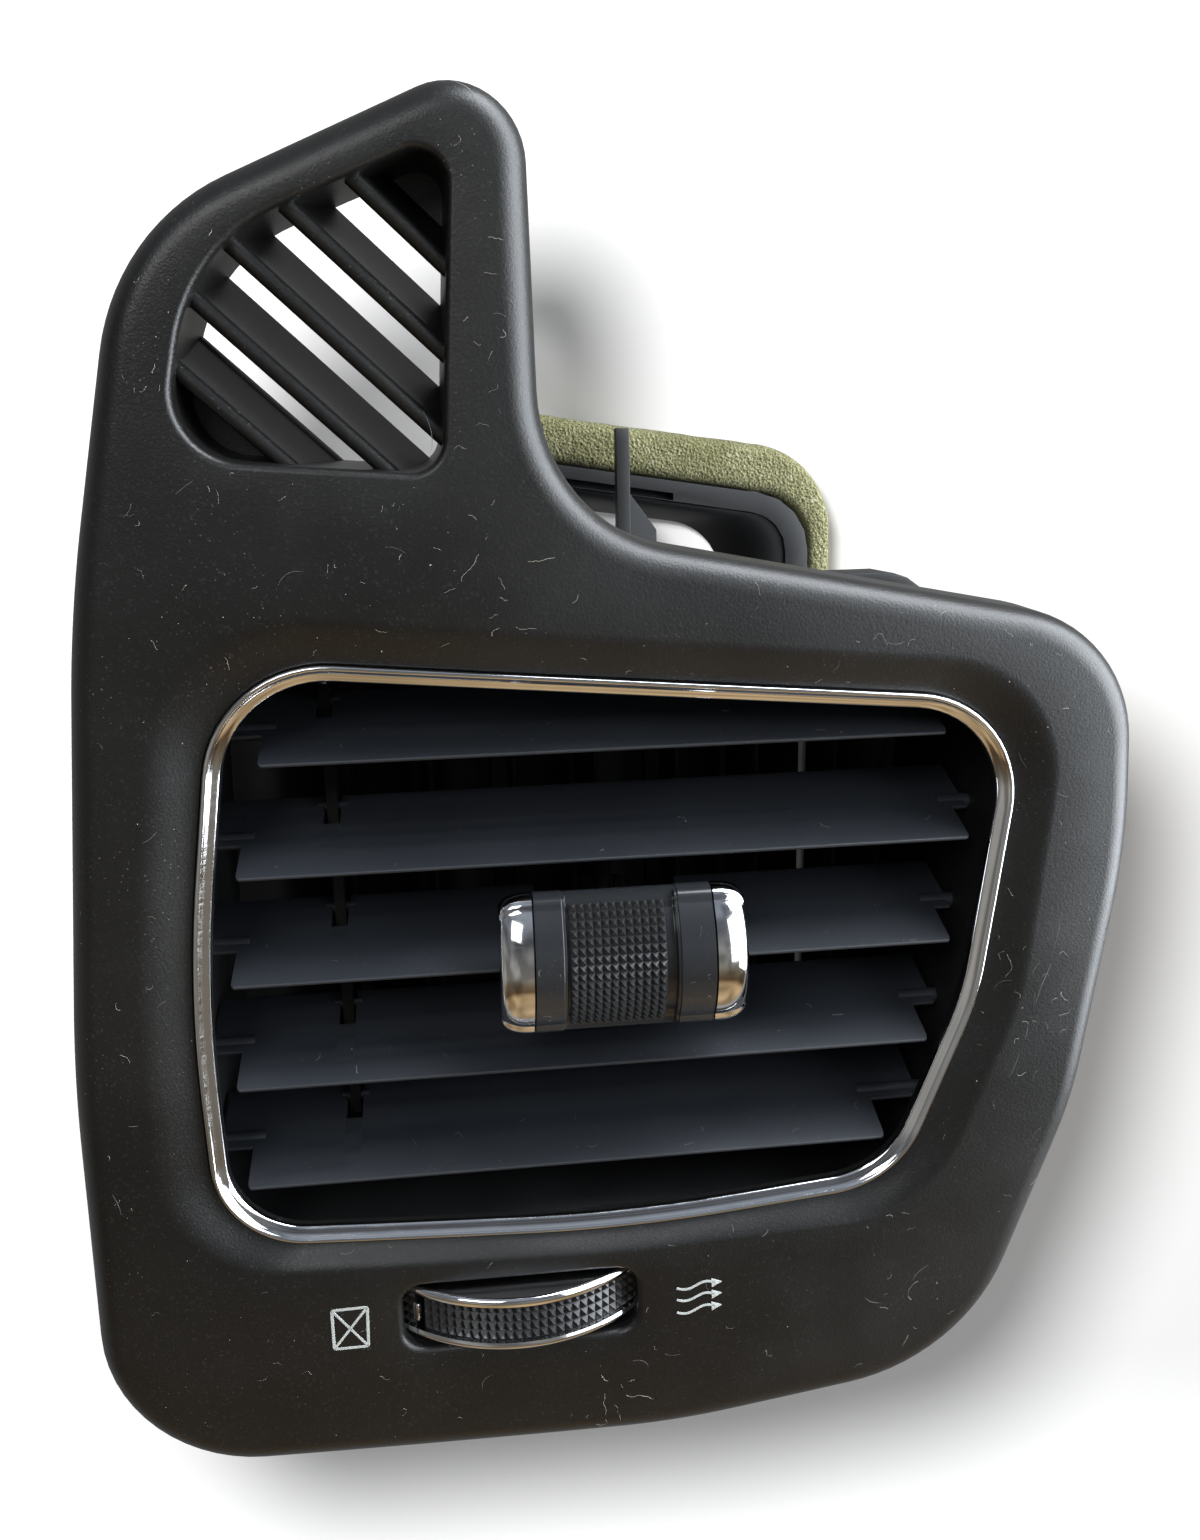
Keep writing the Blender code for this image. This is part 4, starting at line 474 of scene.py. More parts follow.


# %% [markdown]
# ## Finishes
#
# Interior plastic is never one colour. Its grain is a fine etched bump that scatters soft glints,
# handling polishes it in places, and dust settles in specks. Each finish below starts
# from the colour of the real plastic and adds those three things at their real sizes: grain of
# about a third of a millimetre, smears of centimetres and specks under half a millimetre. On the
# bezel, pale flecks in the colour are painted glints that add to those of the bump.

# %% Moulded plastics


def dusty(sheet, base, amount):
    """The base colour with pale dust specks and a faint, patchy film."""
    specks = sheet.between(sheet.cells(900.0), 0.13, 0.05)
    where = sheet.between(sheet.noise(55.0, 3.0), 0.45, 0.75)
    film = sheet.between(sheet.noise(28.0, 4.0, 0.6), 0.4, 0.8)
    pale = sheet.mix(film * amount * 0.04, base, (0.20, 0.19, 0.17))
    return sheet.mix(specks * where * amount, pale, (0.30, 0.28, 0.25))


def grained_charcoal():
    """Bezel plastic: charcoal with an etched grain, and pale flecks painted into its colour as glints of light."""
    sheet = Finish("grained_charcoal", (0.010, 0.010, 0.010), 0.46)
    sheet.shader.inputs["Specular IOR Level"].default_value = 0.51
    tone = sheet.mix(sheet.noise(40.0, 3.0), (0.0038, 0.0036, 0.0032), (0.0056, 0.0056, 0.0057))
    # Painted highlight: pale flecks in the base colour stand in for glints of light on the grain.
    painted_glints = sheet.between(sheet.cells(2600.0, 1), 0.72, 0.98)
    tone = sheet.mix(painted_glints * 0.14, tone, (0.070, 0.072, 0.075))
    colour = dusty(sheet, tone, 0.45)
    grain = sheet.noise(2600.0, 2.0, 0.6)
    rough = sheet.between(sheet.noise(30.0, 4.0, 0.6), 0.3, 0.7, 0.34, 0.42)
    return sheet.set(Base_Color=colour, Roughness=rough, Normal=sheet.bump(grain, 0.000050))


def moulded(name, colour, roughness, dust, grain=0.00002, scale=1800.0):
    """Smoother plastic: slight tone changes, a faint skin and some dust."""
    sheet = Finish(name, colour, roughness)
    darker = tuple(0.82 * part for part in colour)
    lighter = tuple(1.22 * part for part in colour)
    tone = sheet.mix(sheet.noise(60.0, 3.0), darker, lighter)
    rough = sheet.between(sheet.noise(45.0, 4.0, 0.6), 0.3, 0.7, roughness * 0.88, min(1.0, roughness * 1.15))
    return sheet.set(
        Base_Color=dusty(sheet, tone, dust),
        Roughness=rough,
        Normal=sheet.bump(sheet.noise(scale, 3.0), grain, 0.8),
    )


LOOK = {
    "grained_charcoal": grained_charcoal(),
    "satin_black": moulded("satin_black", (0.0230, 0.0265, 0.0330), 0.50, 0.45),
    "plain_black": moulded("plain_black", (0.0045, 0.0047, 0.0052), 0.55, 0.15, 0.00003, 1200.0),
    "gloss_black": moulded("gloss_black", (0.0170, 0.0185, 0.0210), 0.20, 0.35, 0.000004, 900.0),
    "soft_black": moulded("soft_black", (0.0170, 0.0175, 0.0185), 0.32, 0.25, 0.000004, 2500.0),
}

# %% [markdown]
# ## Chrome, steel and foam
#
# Chrome plate is almost a mirror, so most of its look is what stands round it. It still has
# hair-fine wipe marks and finger film, which show as small changes of roughness. The clips and
# screws are zinc plated and duller. The foam is a sponge: dark holes between lighter struts, with
# a speckle that never repeats; the darkness of the holes is painted shade in the foam's colour.

# %% Metals and foam


def plated(name, colour, roughness, marks):
    """Plated metal whose roughness carries streaks and a patchy film."""
    sheet = Finish(name, colour, roughness, 1.0)
    streaks = sheet.noise(260.0, 4.0, 0.6, (1.0, 1.0, 7.0))
    film = sheet.noise(70.0, 3.0)
    rough = sheet.between(streaks * 0.6 + film * 0.4, 0.35, 0.68, roughness, roughness + marks)
    tone = sheet.mix(sheet.between(film, 0.35, 0.7), colour, tuple(0.9 * part for part in colour))
    return sheet.set(Base_Color=tone, Roughness=rough, Normal=sheet.bump(streaks, 0.000003, 0.5))


def open_foam():
    """Olive sponge: struts round small dark cells, whose shade is painted in as a fine dark speckle, paler rubbed
    patches and pale crumbs.
    """
    sheet = Finish("olive_foam", (0.150, 0.140, 0.055), 0.95)
    cells = sheet.cells(1500.0)
    fine = sheet.noise(2600.0, 3.0, 0.7)
    patch = sheet.noise(110.0, 3.0)
    body = sheet.mix(sheet.between(patch, 0.35, 0.7), (0.175, 0.167, 0.073), (0.275, 0.266, 0.138))
    # Painted shade: the fine dark speckle stands in for the shade inside the open cells.
    cell_shade_speckled = sheet.mix(sheet.between(fine, 0.36, 0.62), (0.100, 0.094, 0.038), body)
    crumbs = sheet.between(sheet.cells(900.0, 1), 0.85, 1.0)
    colour = sheet.mix(crumbs * 0.25, cell_shade_speckled, (0.62, 0.60, 0.44))
    return sheet.set(Base_Color=colour, Normal=sheet.bump(cells + fine * 0.7, 0.0006))


LOOK["bright_chrome"] = plated("bright_chrome", (0.78, 0.78, 0.79), 0.05, 0.10)
LOOK["zinc_steel"] = plated("zinc_steel", (0.55, 0.55, 0.54), 0.30, 0.15)
LOOK["olive_foam"] = open_foam()
LOOK["print_grey"] = moulded("print_grey", (0.42, 0.44, 0.42), 0.6, 0.2)
LOOK["pale_lint"] = moulded("pale_lint", (0.40, 0.38, 0.33), 0.8, 0.0)
# Painted shade: a black darker than the plastic itself, for the pieces deep in the barrel.
LOOK["painted_shade_black"] = moulded("painted_shade_black", (0.0022, 0.0023, 0.0025), 0.80, 0.0)
LOOK["scuffed"] = moulded("scuffed", (0.085, 0.085, 0.085), 0.6, 0.3)
print("finishes", len(LOOK))

# %% [markdown]
# ## The bezel
#
# The real bezel is one injection moulding: a skin of even wall, a skirt round its edge, the
# funnel, the tower with slanted slats, and on the back the bosses, tabs and ribs that hold it.
# The rims are lofted loops. The face between them is nearly flat, so a triangulated sheet does
# there, and all of it shares its border points, so that light runs over the joins unbroken.

# %% Rims of the bezel


def arc_section(radius, depth, steps):
    """Growth and depth round a rolled edge: a quarter circle from the face to the skirt."""
    angle = np.linspace(0, math.pi / 2, steps)
    return np.stack([-(EDGE_RADIUS - radius * np.sin(angle)), depth + radius * (1 - np.cos(angle))], axis=1)


def sweep(outline, section):
    """Grid of an outline grown by each section point's growth, at that point's depth."""
    return np.stack([loop_at(grown(outline, growth), depth) for growth, depth in section])


SKIRT_STEP, SKIRT_CHAMFER = 0.0090, 0.0003
outer = arc_section(EDGE_RADIUS, 0.0, 12)
inner = arc_section(EDGE_RADIUS - WALL, WALL, 6)[::-1]
skirt = np.array(
    [
        (0.0, SKIRT_STEP),
        (0.0, SKIRT - SKIRT_CHAMFER),
        (-SKIRT_CHAMFER, SKIRT),
        (-WALL * 0.8, SKIRT),
        (-WALL, SKIRT_STEP),
    ]
)
edge_rim = sweep(BEZEL, np.concatenate([outer, skirt, inner]))

shelf = FUNNEL_DEPTH + REBATE
steps = np.linspace(0, 1, 12)
crest_to_outlet = [
    loop_at(CREST + (grown(OUTLET, GAP) - CREST) * share, FUNNEL_DEPTH * funnel_curve(share)) for share in steps
]
back_of_funnel = [
    loop_at(grown(OUTLET, GAP), shelf),
    loop_at(grown(OUTLET, -RING_WIDTH), shelf),
    loop_at(grown(OUTLET, -RING_WIDTH), shelf + RIM),
    loop_at(CREST + (OUTLET - CREST) * 0.8, shelf + RIM),
    loop_at(CREST + (OUTLET - CREST) * 0.28, WALL + FUNNEL_DEPTH * 0.3),
    loop_at(CREST, np.full(len(CREST), WALL)),
]
funnel_rim = np.stack(crest_to_outlet + back_of_funnel)

CHAMFER = 0.0016
TOWER_DEPTH = 0.0150
MOUTH_TAPER = 0.0008
mouth_roll = [
    loop_at(TOWER_FACE + (TOWER_MOUTH - TOWER_FACE) * np.sin(angle), CHAMFER * (1 - np.cos(angle)))
    for angle in np.linspace(0, 1, 8) * math.pi / 2
]
tower_walls = [
    loop_at(grown(TOWER_MOUTH, -MOUTH_TAPER), TOWER_DEPTH),
    loop_at(grown(TOWER_MOUTH, WALL * 0.5), TOWER_DEPTH),
    loop_at(grown(TOWER_MOUTH, WALL * 0.6), WALL + CHAMFER),
    loop_at(TOWER_FACE, WALL),
]
tower_rim = np.stack(mouth_roll + tower_walls)

SLOT_LIP, SLOT_BACK = 0.0012, 0.0026
angle = np.linspace(0, math.pi / 2, 6)
lip = np.stack([SLOT_LIP * (1 - np.sin(angle)), SLOT_LIP * (1 - np.cos(angle))], axis=1)
slot_rim = sweep(SLOT, np.concatenate([lip, [(0.0, SLOT_BACK), (SLOT_LIP, SLOT_BACK), (SLOT_LIP, WALL)]]))
print("bezel rims", edge_rim.shape, funnel_rim.shape, tower_rim.shape, slot_rim.shape)

# %% [markdown]
# ## The face between the rims
#
# Four borders lie in the face: its edge, the crest of the funnel, the tower's mouth and the slot.
# A Delaunay triangulation joins them through staggered rows of points, the way a sheet of mesh
# wire fills a frame. The front and the back of the wall use the same triangles.

# %% The face between the rims


def face_sheet(spacing):
    """Triangles of the face: border loops, and staggered rows of points between them."""
    loops = [EDGE_LOOP, CREST, TOWER_FACE, grown(SLOT, SLOT_LIP)]

    def framed(spots):
        """True within the edge and outside the three openings."""
        return inside(spots, loops[0]) & ~np.any([inside(spots, loop) for loop in loops[1:]], axis=0)

    low, high = EDGE_LOOP.min(0), EDGE_LOOP.max(0)
    rows = np.arange(low[1], high[1], spacing)
    columns = np.arange(low[0], high[0], spacing)
    x, z = np.meshgrid(columns, rows)
    x = x + spacing / 2 * (np.arange(len(rows)) % 2)[:, None]
    spots = np.stack([x.ravel(), z.ravel()], axis=1)
    keep = framed(spots)
    for loop in loops:
        keep &= distance_to(spots, loop) > spacing * 0.5
    flat = np.concatenate(loops + [spots[keep]])
    edges, start = [], 0
    for loop in loops:
        index = np.arange(len(loop)) + start
        edges += np.stack([index, np.roll(index, -1)], axis=1).tolist()
        start += len(loop)
    points, _, faces, _, _, _ = delaunay_2d_cdt([tuple(p) for p in flat.tolist()], edges, [], 0, 1e-9)
    points, faces = np.array([tuple(p) for p in points]), np.array(faces)
    return points, faces[framed(points[faces].mean(1))]


bezel = Shape()
flat, triangles = face_sheet(0.006)
for depth, order in ((0.0, 1), (WALL, -1)):
    bezel.add(loop_at(flat, depth), [triangles[:, ::order]])
for rim in (edge_rim, funnel_rim, tower_rim, slot_rim):
    bezel.grid(rim, around=True)
print("face triangles", len(triangles))

# %% [markdown]
# ## Slats of the side-window outlet
#
# Five slats cross the tower's opening at a slant. Each is a curved blade: it leans further over
# the deeper it goes, so that air is thrown towards the side window. A slat is a ruled surface:
# every point of its section is carried in a straight line from wall to wall, and the line's two
# ends are found where it crosses the outline of the opening.

# %% Slats from wall to wall
SLAT_ANGLE = math.radians(43.5)
SLAT_PITCH = 0.0093
SLAT_START = np.array([-0.0330, 0.0881])
SLAT_FRONT, SLAT_CHORD, SLAT_LEAN, SLAT_THICK = 0.0042, 0.0108, 0.0047, 0.0026
ALONG = np.array([math.cos(SLAT_ANGLE), -math.sin(SLAT_ANGLE)])
ACROSS = np.array([math.sin(SLAT_ANGLE), math.cos(SLAT_ANGLE)])
SLATS = 5


def crossings(origins, direction, loop):
    """Nearest and farthest place where each line meets the outline, as distances along it."""
    start = loop[None] - origins[:, None]
    edge = (np.roll(loop, -1, axis=0) - loop)[None]
    cross = direction[0] * edge[..., 1] - direction[1] * edge[..., 0]
    cross = np.where(np.abs(cross) < 1e-15, 1e-15, cross)
    along = (start[..., 0] * edge[..., 1] - start[..., 1] * edge[..., 0]) / cross
    share = (start[..., 0] * direction[1] - start[..., 1] * direction[0]) / cross
    hit = (share >= 0) & (share <= 1)
    return np.where(hit, along, np.inf).min(1), np.where(hit, along, -np.inf).max(1)


def slat_section(steps):
    """Offset and depth round a slat: lean = share^1.25, half as thick at the tail, with a round nose."""
    share = np.linspace(0, 1, steps)
    half = SLAT_THICK / 2 * (1 - 0.55 * np.sqrt(share))
    lean = SLAT_LEAN * share**1.25
    depth = SLAT_FRONT + SLAT_CHORD * share
    nose = np.linspace(math.pi, 0, 9)[1:-1]
    tip = np.stack([np.cos(nose) * half[0], SLAT_FRONT - np.sin(nose) * half[0]], axis=1)
    low = np.stack([lean - half, depth], axis=1)
    high = np.stack([lean + half, depth], axis=1)
    return np.concatenate([low[::-1], tip, high])


section = slat_section(9)
wall_line = grown(TOWER_MOUTH, 0.0006)
slats = Shape()
for number in range(SLATS):
    centre = SLAT_START - ACROSS * SLAT_PITCH * number
    origins = centre + ACROSS * section[:, :1]
    near, far = crossings(origins, ALONG, wall_line)
    share = np.linspace(0, 1, 16)[:, None]
    reach = near * (1 - share) + far * share
    slats.capped(flat_at(origins[None] + ALONG * reach[..., None], section[:, 1]))
print("slats of", len(section), "section points")

# %% [markdown]
# ## Webs in two corners
#
# Beyond the first slat and beyond the last one the opening's corner is closed by a thin plate,
# where one more slat would be too short to guide air. Its outline is the stretch of the opening
# on the far side of a line along the slats, closed by that line.

# %% Webs that close two corners of the outlet
WEB_FRONT, WEB_BACK, WEB_OVERLAP = 0.0138, 0.0149, 0.0004


def web(limit, side):
    """A thin plate over the part of the opening that lies beyond a line along the slats."""
    offset = (wall_line - SLAT_START) @ ACROSS
    start = SLAT_START + ACROSS * limit
    ends = start + ALONG * np.concatenate(crossings(start[None], ALONG, wall_line))[:, None]
    edge = np.concatenate([wall_line[side * (offset - limit) > 0.0001], ends])
    away = edge - edge.mean(0)
    edge = edge[np.argsort(np.arctan2(away[:, 1], away[:, 0]))]
    slats.capped([flat_at(edge, WEB_FRONT), flat_at(edge, WEB_BACK)])
    return len(edge)


last_slat = -(SLATS - 1) * SLAT_PITCH
print("webs", web(SLAT_LEAN - WEB_OVERLAP, 1), web(last_slat + SLAT_LEAN + WEB_OVERLAP, -1))
slats = slats.finish("outlet_slats", LOOK["grained_charcoal"], 40)
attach(slats, "vent_body")

# %% [markdown]
# ## Bosses, tabs and ribs behind the face
#
# Nobody sees the back of a bezel once it is fitted, but it is what holds it: round bosses for the
# barrel's screws, two flat tabs on ribs for the dashboard, and three upright ribs for clips. Two
# thin plates stand behind the long sides of the thumbwheel's slot and close it to light.

# %% Back of the bezel
SCREWS = [(-0.0450, 0.0300), (0.0806, -0.0060), (0.0400, -0.0960), (-0.0600, -0.0962)]
TABS = [(0.0480, -0.1110), (-0.0625, 0.0365)]
CLIPS = [(0.0815, -0.0350), (-0.0143, 0.0700), (-0.0797, -0.0600)]
BOSS_RADIUS, BOSS_HOLE, BOSS_HOLE_DEPTH, BOSS_CHAMFER = 0.0038, 0.0018, 0.0045, 0.0003
TAB_BACK, TAB_THICK, TAB_HALF, TAB_RIB = 0.0160, 0.0024, (0.010, 0.0055), 0.0088
TAB_HOLE, TAB_HOLE_AT = 0.0024, 0.0044
RIB_HALF, CLIP_HALF, CLIP_BACK = 0.0012, (0.0010, 0.0065), 0.0200
EAR = 0.0033
boss_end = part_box("vane_housing")[0].y + FACE_ORIGIN[1] + EAR - GAP


def ring_of(centre, radius, depth, count=32):
    """A circle in the plane of the face."""
    angle = np.linspace(0, 2 * math.pi, count, endpoint=False)
    x, z = centre[0] + radius * np.cos(angle), centre[1] + radius * np.sin(angle)
    return flat_at(np.stack([x, z], axis=1), depth)


def upright(x, z, half, front, back):
    """A box of the bezel's back: centre and half sizes in the face's plane, front and back depths."""
    bezel.box(seat((x - half[0], front, z - half[1])), seat((x + half[0], back, z + half[1])))


def within_wall(x, z):
    """Depth of the middle of the wall, where ribs and bosses start."""
    return crown(np.array((x, z))) + WALL * 0.5


for x, z in SCREWS:
    profile = [
        (BOSS_RADIUS, within_wall(x, z)),
        (BOSS_RADIUS, boss_end - BOSS_CHAMFER),
        (BOSS_RADIUS - BOSS_CHAMFER, boss_end),
        (BOSS_HOLE, boss_end),
        (BOSS_HOLE, boss_end - BOSS_HOLE_DEPTH),
        (0.00001, boss_end - BOSS_HOLE_DEPTH),
    ]
    bezel.grid(np.stack([ring_of((x, z), r, y) for r, y in profile]), around=True)
tab_front = TAB_BACK - TAB_THICK
for x, z in TABS:
    hole = np.array((x - TAB_HOLE_AT, z))
    tab_edge = rectangle((x, z), TAB_HALF, 0.0008, 4, 5)
    rim = tab_edge - hole
    round_hole = hole + rim / np.linalg.norm(rim, axis=1)[:, None] * TAB_HOLE
    plate = [(tab_edge, tab_front), (tab_edge, TAB_BACK), (round_hole, TAB_BACK), (round_hole, tab_front)]
    bezel.grid(np.stack([flat_at(line, y) for line, y in plate]), around=True, along=True)
    for side in (-1, 1):
        upright(x + side * TAB_RIB, z, (RIB_HALF, TAB_HALF[1]), within_wall(x, z), TAB_BACK - TAB_THICK / 2)
for x, z in CLIPS:
    upright(x, z, CLIP_HALF, within_wall(x, z), CLIP_BACK)
PLATE_GAP, PLATE_PAST, PLATE_HALF, PLATE_BACK = 0.0008, 0.0020, 0.0006, 0.0120
for side in (-1, 1):
    z = SLOT_CENTRE[1] + side * (SLOT_HALF[1] + PLATE_GAP)
    upright(SLOT_CENTRE[0], z, (SLOT_HALF[0] + PLATE_PAST, PLATE_HALF), WALL * 0.5, PLATE_BACK)

front = bezel.finish("bezel_moulding", LOOK["grained_charcoal"], 32)
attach(front, "vent_body")
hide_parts("front_bezel")
print("bezel faces", len(front.data.polygons))

# %% [markdown]
# ## Chrome ring
#
# The ring is a plated band with a small round bead on its outside and a slope that leads the eye
# into the outlet. Its section is carried round the outlet's outline, so highlights can run along
# it without a break.

# %% Trim ring
RING_PROUD, BEAD_RADIUS = 0.0010, 0.00048
top = FUNNEL_DEPTH - RING_PROUD
foot = shelf - GAP
bead = np.linspace(math.pi, 0.15 * math.pi, 9)
bead_points = BEAD_RADIUS * np.stack([-1 - np.cos(bead), 1 - np.sin(bead)], axis=1) + [0, top]
slope = np.array([(-0.00125, top + 0.00062), (-0.0019, top + 0.00100), (-0.00245, foot - 0.00072)])
base = np.array([(-RING_WIDTH, foot - 0.00042), (-RING_WIDTH, foot), (0.0, foot)])
ring_section = np.concatenate([bead_points, slope, base])
ring = Shape().grid(sweep(OUTLET, ring_section), around=True, along=True)
ring = ring.finish("chrome_ring", LOOK["bright_chrome"], 50)
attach(ring, "vent_body")
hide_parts("trim_ring")
print("ring section points", len(ring_section))

# %% [markdown]
# ## Knob
#
# A finger pushes this knob sideways along the middle blade. Its body is gloss black with a
# sunken middle strip, a soft pad of small pyramids lies in a shallow recess, and a chromed cap
# closes each end. The section is a D: a flat back and a convex face.

# %% Knob body
BLADE_AXIS_Y = 0.0183
MIDDLE_BLADE_Z = -0.0333
KNOB_X = 0.0033
KNOB_CENTRE = np.array([KNOB_X, BLADE_AXIS_Y, MIDDLE_BLADE_Z])
KNOB_HALF = 0.0124
KNOB_FRONT, KNOB_BACK, FACE_RADIUS, CORNER = 0.0230, 0.0146, 0.0160, 0.0018
KNEE = 0.0012
CAP_WIDTH, KNOB_WIDTH = 0.0057, 0.0415
PAD_X, PAD_WIDTH, PAD_RECESS = -0.0006, 0.0180, 0.0012
PAD_ANGLE = math.radians(46)
STRIP_MARGIN, STRIP_DEPTH = 0.0008, 0.00022
face_centre = KNOB_FRONT - FACE_RADIUS


def knob_place(x, y, z):
    """Knob coordinates to the frame; the knob is a little wider at its foot: x (1 - 0.9 z)."""
    return seat(np.stack([x * (1 - 0.9 * z), y, z], axis=-1) + KNOB_CENTRE)


def d_section(grow=0.0):
    """D-shaped section: the face's arc, two rounded corners and a flat back, grown outwards."""
    half = KNOB_HALF + grow
    radius = FACE_RADIUS + grow
    limit = math.asin((half - CORNER) / radius) * 0.97
    angle = np.linspace(-limit, limit, 48)
    face = np.stack([-face_centre - radius * np.cos(angle), radius * np.sin(angle)], axis=1)
    back = -KNOB_BACK
    corners = []
    for side, start in ((1, face[-1]), (-1, face[0])):
        knee = np.array([back - KNEE, side * half])
        turn = np.linspace(0, 1, 7)[1:, None]
        tangent = np.array([start[0], side * half])
        curve = (1 - turn) ** 2 * start + 2 * turn * (1 - turn) * tangent + turn**2 * knee
        corners.append(np.concatenate([curve, [[back, side * half * 0.93]]]))
    return np.concatenate([face, corners[0], corners[1][::-1]])


body_section = d_section()
half_body = KNOB_WIDTH / 2 - CAP_WIDTH - GAP / 2
near_pad = np.linspace(PAD_WIDTH / 2 - 0.0008, PAD_WIDTH / 2 + 0.0012, 30)
x = np.unique(np.concatenate([np.linspace(-half_body, half_body, 90), PAD_X - near_pad, PAD_X + near_pad]))
face_angle = np.arctan2(body_section[:, 1], -(body_section[:, 0] + face_centre))
to_front = smoothstep((np.cos(face_angle) - 0.2) * 8)
past_pad = PAD_WIDTH / 2 - np.abs(x - PAD_X)
across = smoothstep(past_pad / 0.00025 + 1)
up = smoothstep((PAD_ANGLE - np.abs(face_angle)) / 0.018 + 1)
strip = smoothstep((past_pad + STRIP_MARGIN) / 0.00020) * STRIP_DEPTH
depth = PAD_RECESS * across[:, None] * up[None] + strip[:, None] * to_front[None]
direction = np.stack([-np.cos(face_angle), np.sin(face_angle)], axis=1)
y = body_section[None, :, 0] - depth * direction[None, :, 0]
z = body_section[None, :, 1] - depth * direction[None, :, 1]
body_grid = knob_place(np.broadcast_to(x[:, None], y.shape), y, z)
body = Shape().capped(body_grid).finish("knob_shell", LOOK["gloss_black"], 40)
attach(body, "knob")
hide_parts("knob_body")
print("knob body", body_grid.shape)

# %% [markdown]
# ## Pyramids for the fingertip
#
# A knurl is a repeated pyramid. Corners lie on the curved base, tips above the middle of each
# cell, and every cell gives four triangles, so the whole pad is two arrays of points.

# %% Knurled pads


def pyramids(shape, corners, tips):
    """Four triangles from each tip to the corners of its cell."""
    rows, columns = corners.shape[:2]
    index = np.arange(rows * columns).reshape(rows, columns)
    top = rows * columns + np.arange(tips.shape[0] * tips.shape[1]).reshape(tips.shape[:2])
    a, b, c, d = index[:-1, :-1], index[:-1, 1:], index[1:, 1:], index[1:, :-1]
    sides = [np.stack([p, q, top], axis=-1).reshape(-1, 3) for p, q in ((a, b), (b, c), (c, d), (d, a))]
    return shape.add(np.concatenate([corners.reshape(-1, 3), tips.reshape(-1, 3)]), sides)


def pad_point(x, angle, radius):
    """A point of the pad: x along the knob, angle round the face's centre of curvature."""
    x, angle = np.broadcast_arrays(x, angle)
    return knob_place(x, -face_centre - radius * np.cos(angle), radius * np.sin(angle))


def middles(values):
    """The place halfway between each two neighbours."""
    return (values[:-1] + values[1:]) / 2


pad_floor = FACE_RADIUS - PAD_RECESS + 0.0001
pad_base, pad_peak = pad_floor + 0.00036, FACE_RADIUS + 0.00004
span = PAD_ANGLE - 0.030
columns, rows = 12, 16
xs = PAD_X - PAD_WIDTH / 2 + 0.0004 + np.linspace(0, PAD_WIDTH - 0.0020, columns + 1)
angles = np.linspace(-span, span, rows + 1)
corners = pad_point(xs[None], angles[:, None], pad_base)
grip = pyramids(Shape(), corners, pad_point(middles(xs)[None], middles(angles)[:, None], pad_peak))
under = pad_point(xs[None], angles[:, None], pad_floor)
grip.grid(under[::-1]).walled(corners, under)
grip = grip.finish("knob_pad", LOOK["soft_black"], 12)
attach(grip, "knob")
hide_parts("knob_grip")
print("pad pyramids", rows * columns)

# %% [markdown]
# ## Chrome caps of the knob
#
# Each cap is the same D-section, drawn in over its last few millimetres along a quarter circle,
# which gives the soft outer edge that catches the window's light.

# %% Caps
CAP_ROUND = 0.0024
CAP_LENGTH = 0.0046
inner_x = KNOB_WIDTH / 2 - CAP_WIDTH + GAP / 2
outer_x = KNOB_WIDTH / 2
turn = np.linspace(0, math.pi / 2, 12)
straight_run = np.linspace(inner_x, outer_x - CAP_LENGTH, 6)[:-1]
stations = np.concatenate([straight_run, outer_x - CAP_LENGTH * (1 - np.sin(turn))])
draw_in = np.concatenate([np.zeros(len(straight_run)), CAP_ROUND * (1 - np.cos(turn))])
for side, name, node in ((-1, "chrome_cap_left", "knob_cap_left"), (1, "chrome_cap_right", "knob_cap_right")):
    loops = []
    for station, inset in zip(stations, draw_in):
        loop = d_section(-inset)
        loops.append(knob_place(np.full(len(loop), side * station), loop[:, 0], loop[:, 1]))
    cap = Shape().capped(loops).finish(name, LOOK["bright_chrome"], 40)
    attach(cap, "knob")
    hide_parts(node)
print("cap stations", len(stations))

# %% [markdown]
# ## Thumbwheel
#
# The wheel stands in its slot like a coin in a purse. Two chromed rims hold a knurled band of
# four rows of pyramids. Turned parts are the simplest surface of all: a profile of radius and
# height, and an angle.

# %% Wheel rims and knurl
WHEEL_RADIUS, WHEEL_HALF = 0.0310, 0.0052
WHEEL_CENTRE = np.array([SLOT_CENTRE[0], WHEEL_RADIUS - 0.0046, -0.0986])
RIM_HEIGHT, RIM_WIDTH, RIM_NOSE, RIM_REACH = 0.0016, 0.0030, 0.0009, 0.0105


def turned(radius, angle, z):
    """A point of the wheel: radius and angle about its upright axis."""
    radius, angle, z = np.broadcast_arrays(radius, angle, z)
    return seat(np.stack([radius * np.cos(angle), radius * np.sin(angle), z], axis=-1) + WHEEL_CENTRE)


round_angle = np.linspace(0, 2 * math.pi, 180, endpoint=False)
nose = np.linspace(-0.1 * math.pi, 0.5 * math.pi, 9)
seat_height = WHEEL_HALF - RIM_HEIGHT
cover = WHEEL_HALF - 0.00035
low_radius = WHEEL_RADIUS - RIM_WIDTH + GAP
nose_centre = [WHEEL_RADIUS - RIM_NOSE, WHEEL_HALF - RIM_NOSE]
profile = np.concatenate(
    [
        [(WHEEL_RADIUS - RIM_REACH, cover), (low_radius, cover)],
        [(low_radius, seat_height), (WHEEL_RADIUS - 0.0002, seat_height)],
        nose_centre + RIM_NOSE * np.stack([np.cos(nose), np.sin(nose)], axis=1),
        [(WHEEL_RADIUS - RIM_REACH, WHEEL_HALF)],
    ]
)
for side, name, node in ((1, "chrome_rim_upper", "wheel_rim_upper"), (-1, "chrome_rim_lower", "wheel_rim_lower")):
    loops = turned(profile[:, :1], round_angle[None], side * profile[:, 1:])
    rim = Shape().grid(loops, around=True, along=True).finish(name, LOOK["bright_chrome"], 50)
    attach(rim, "thumbwheel")
    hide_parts(node)

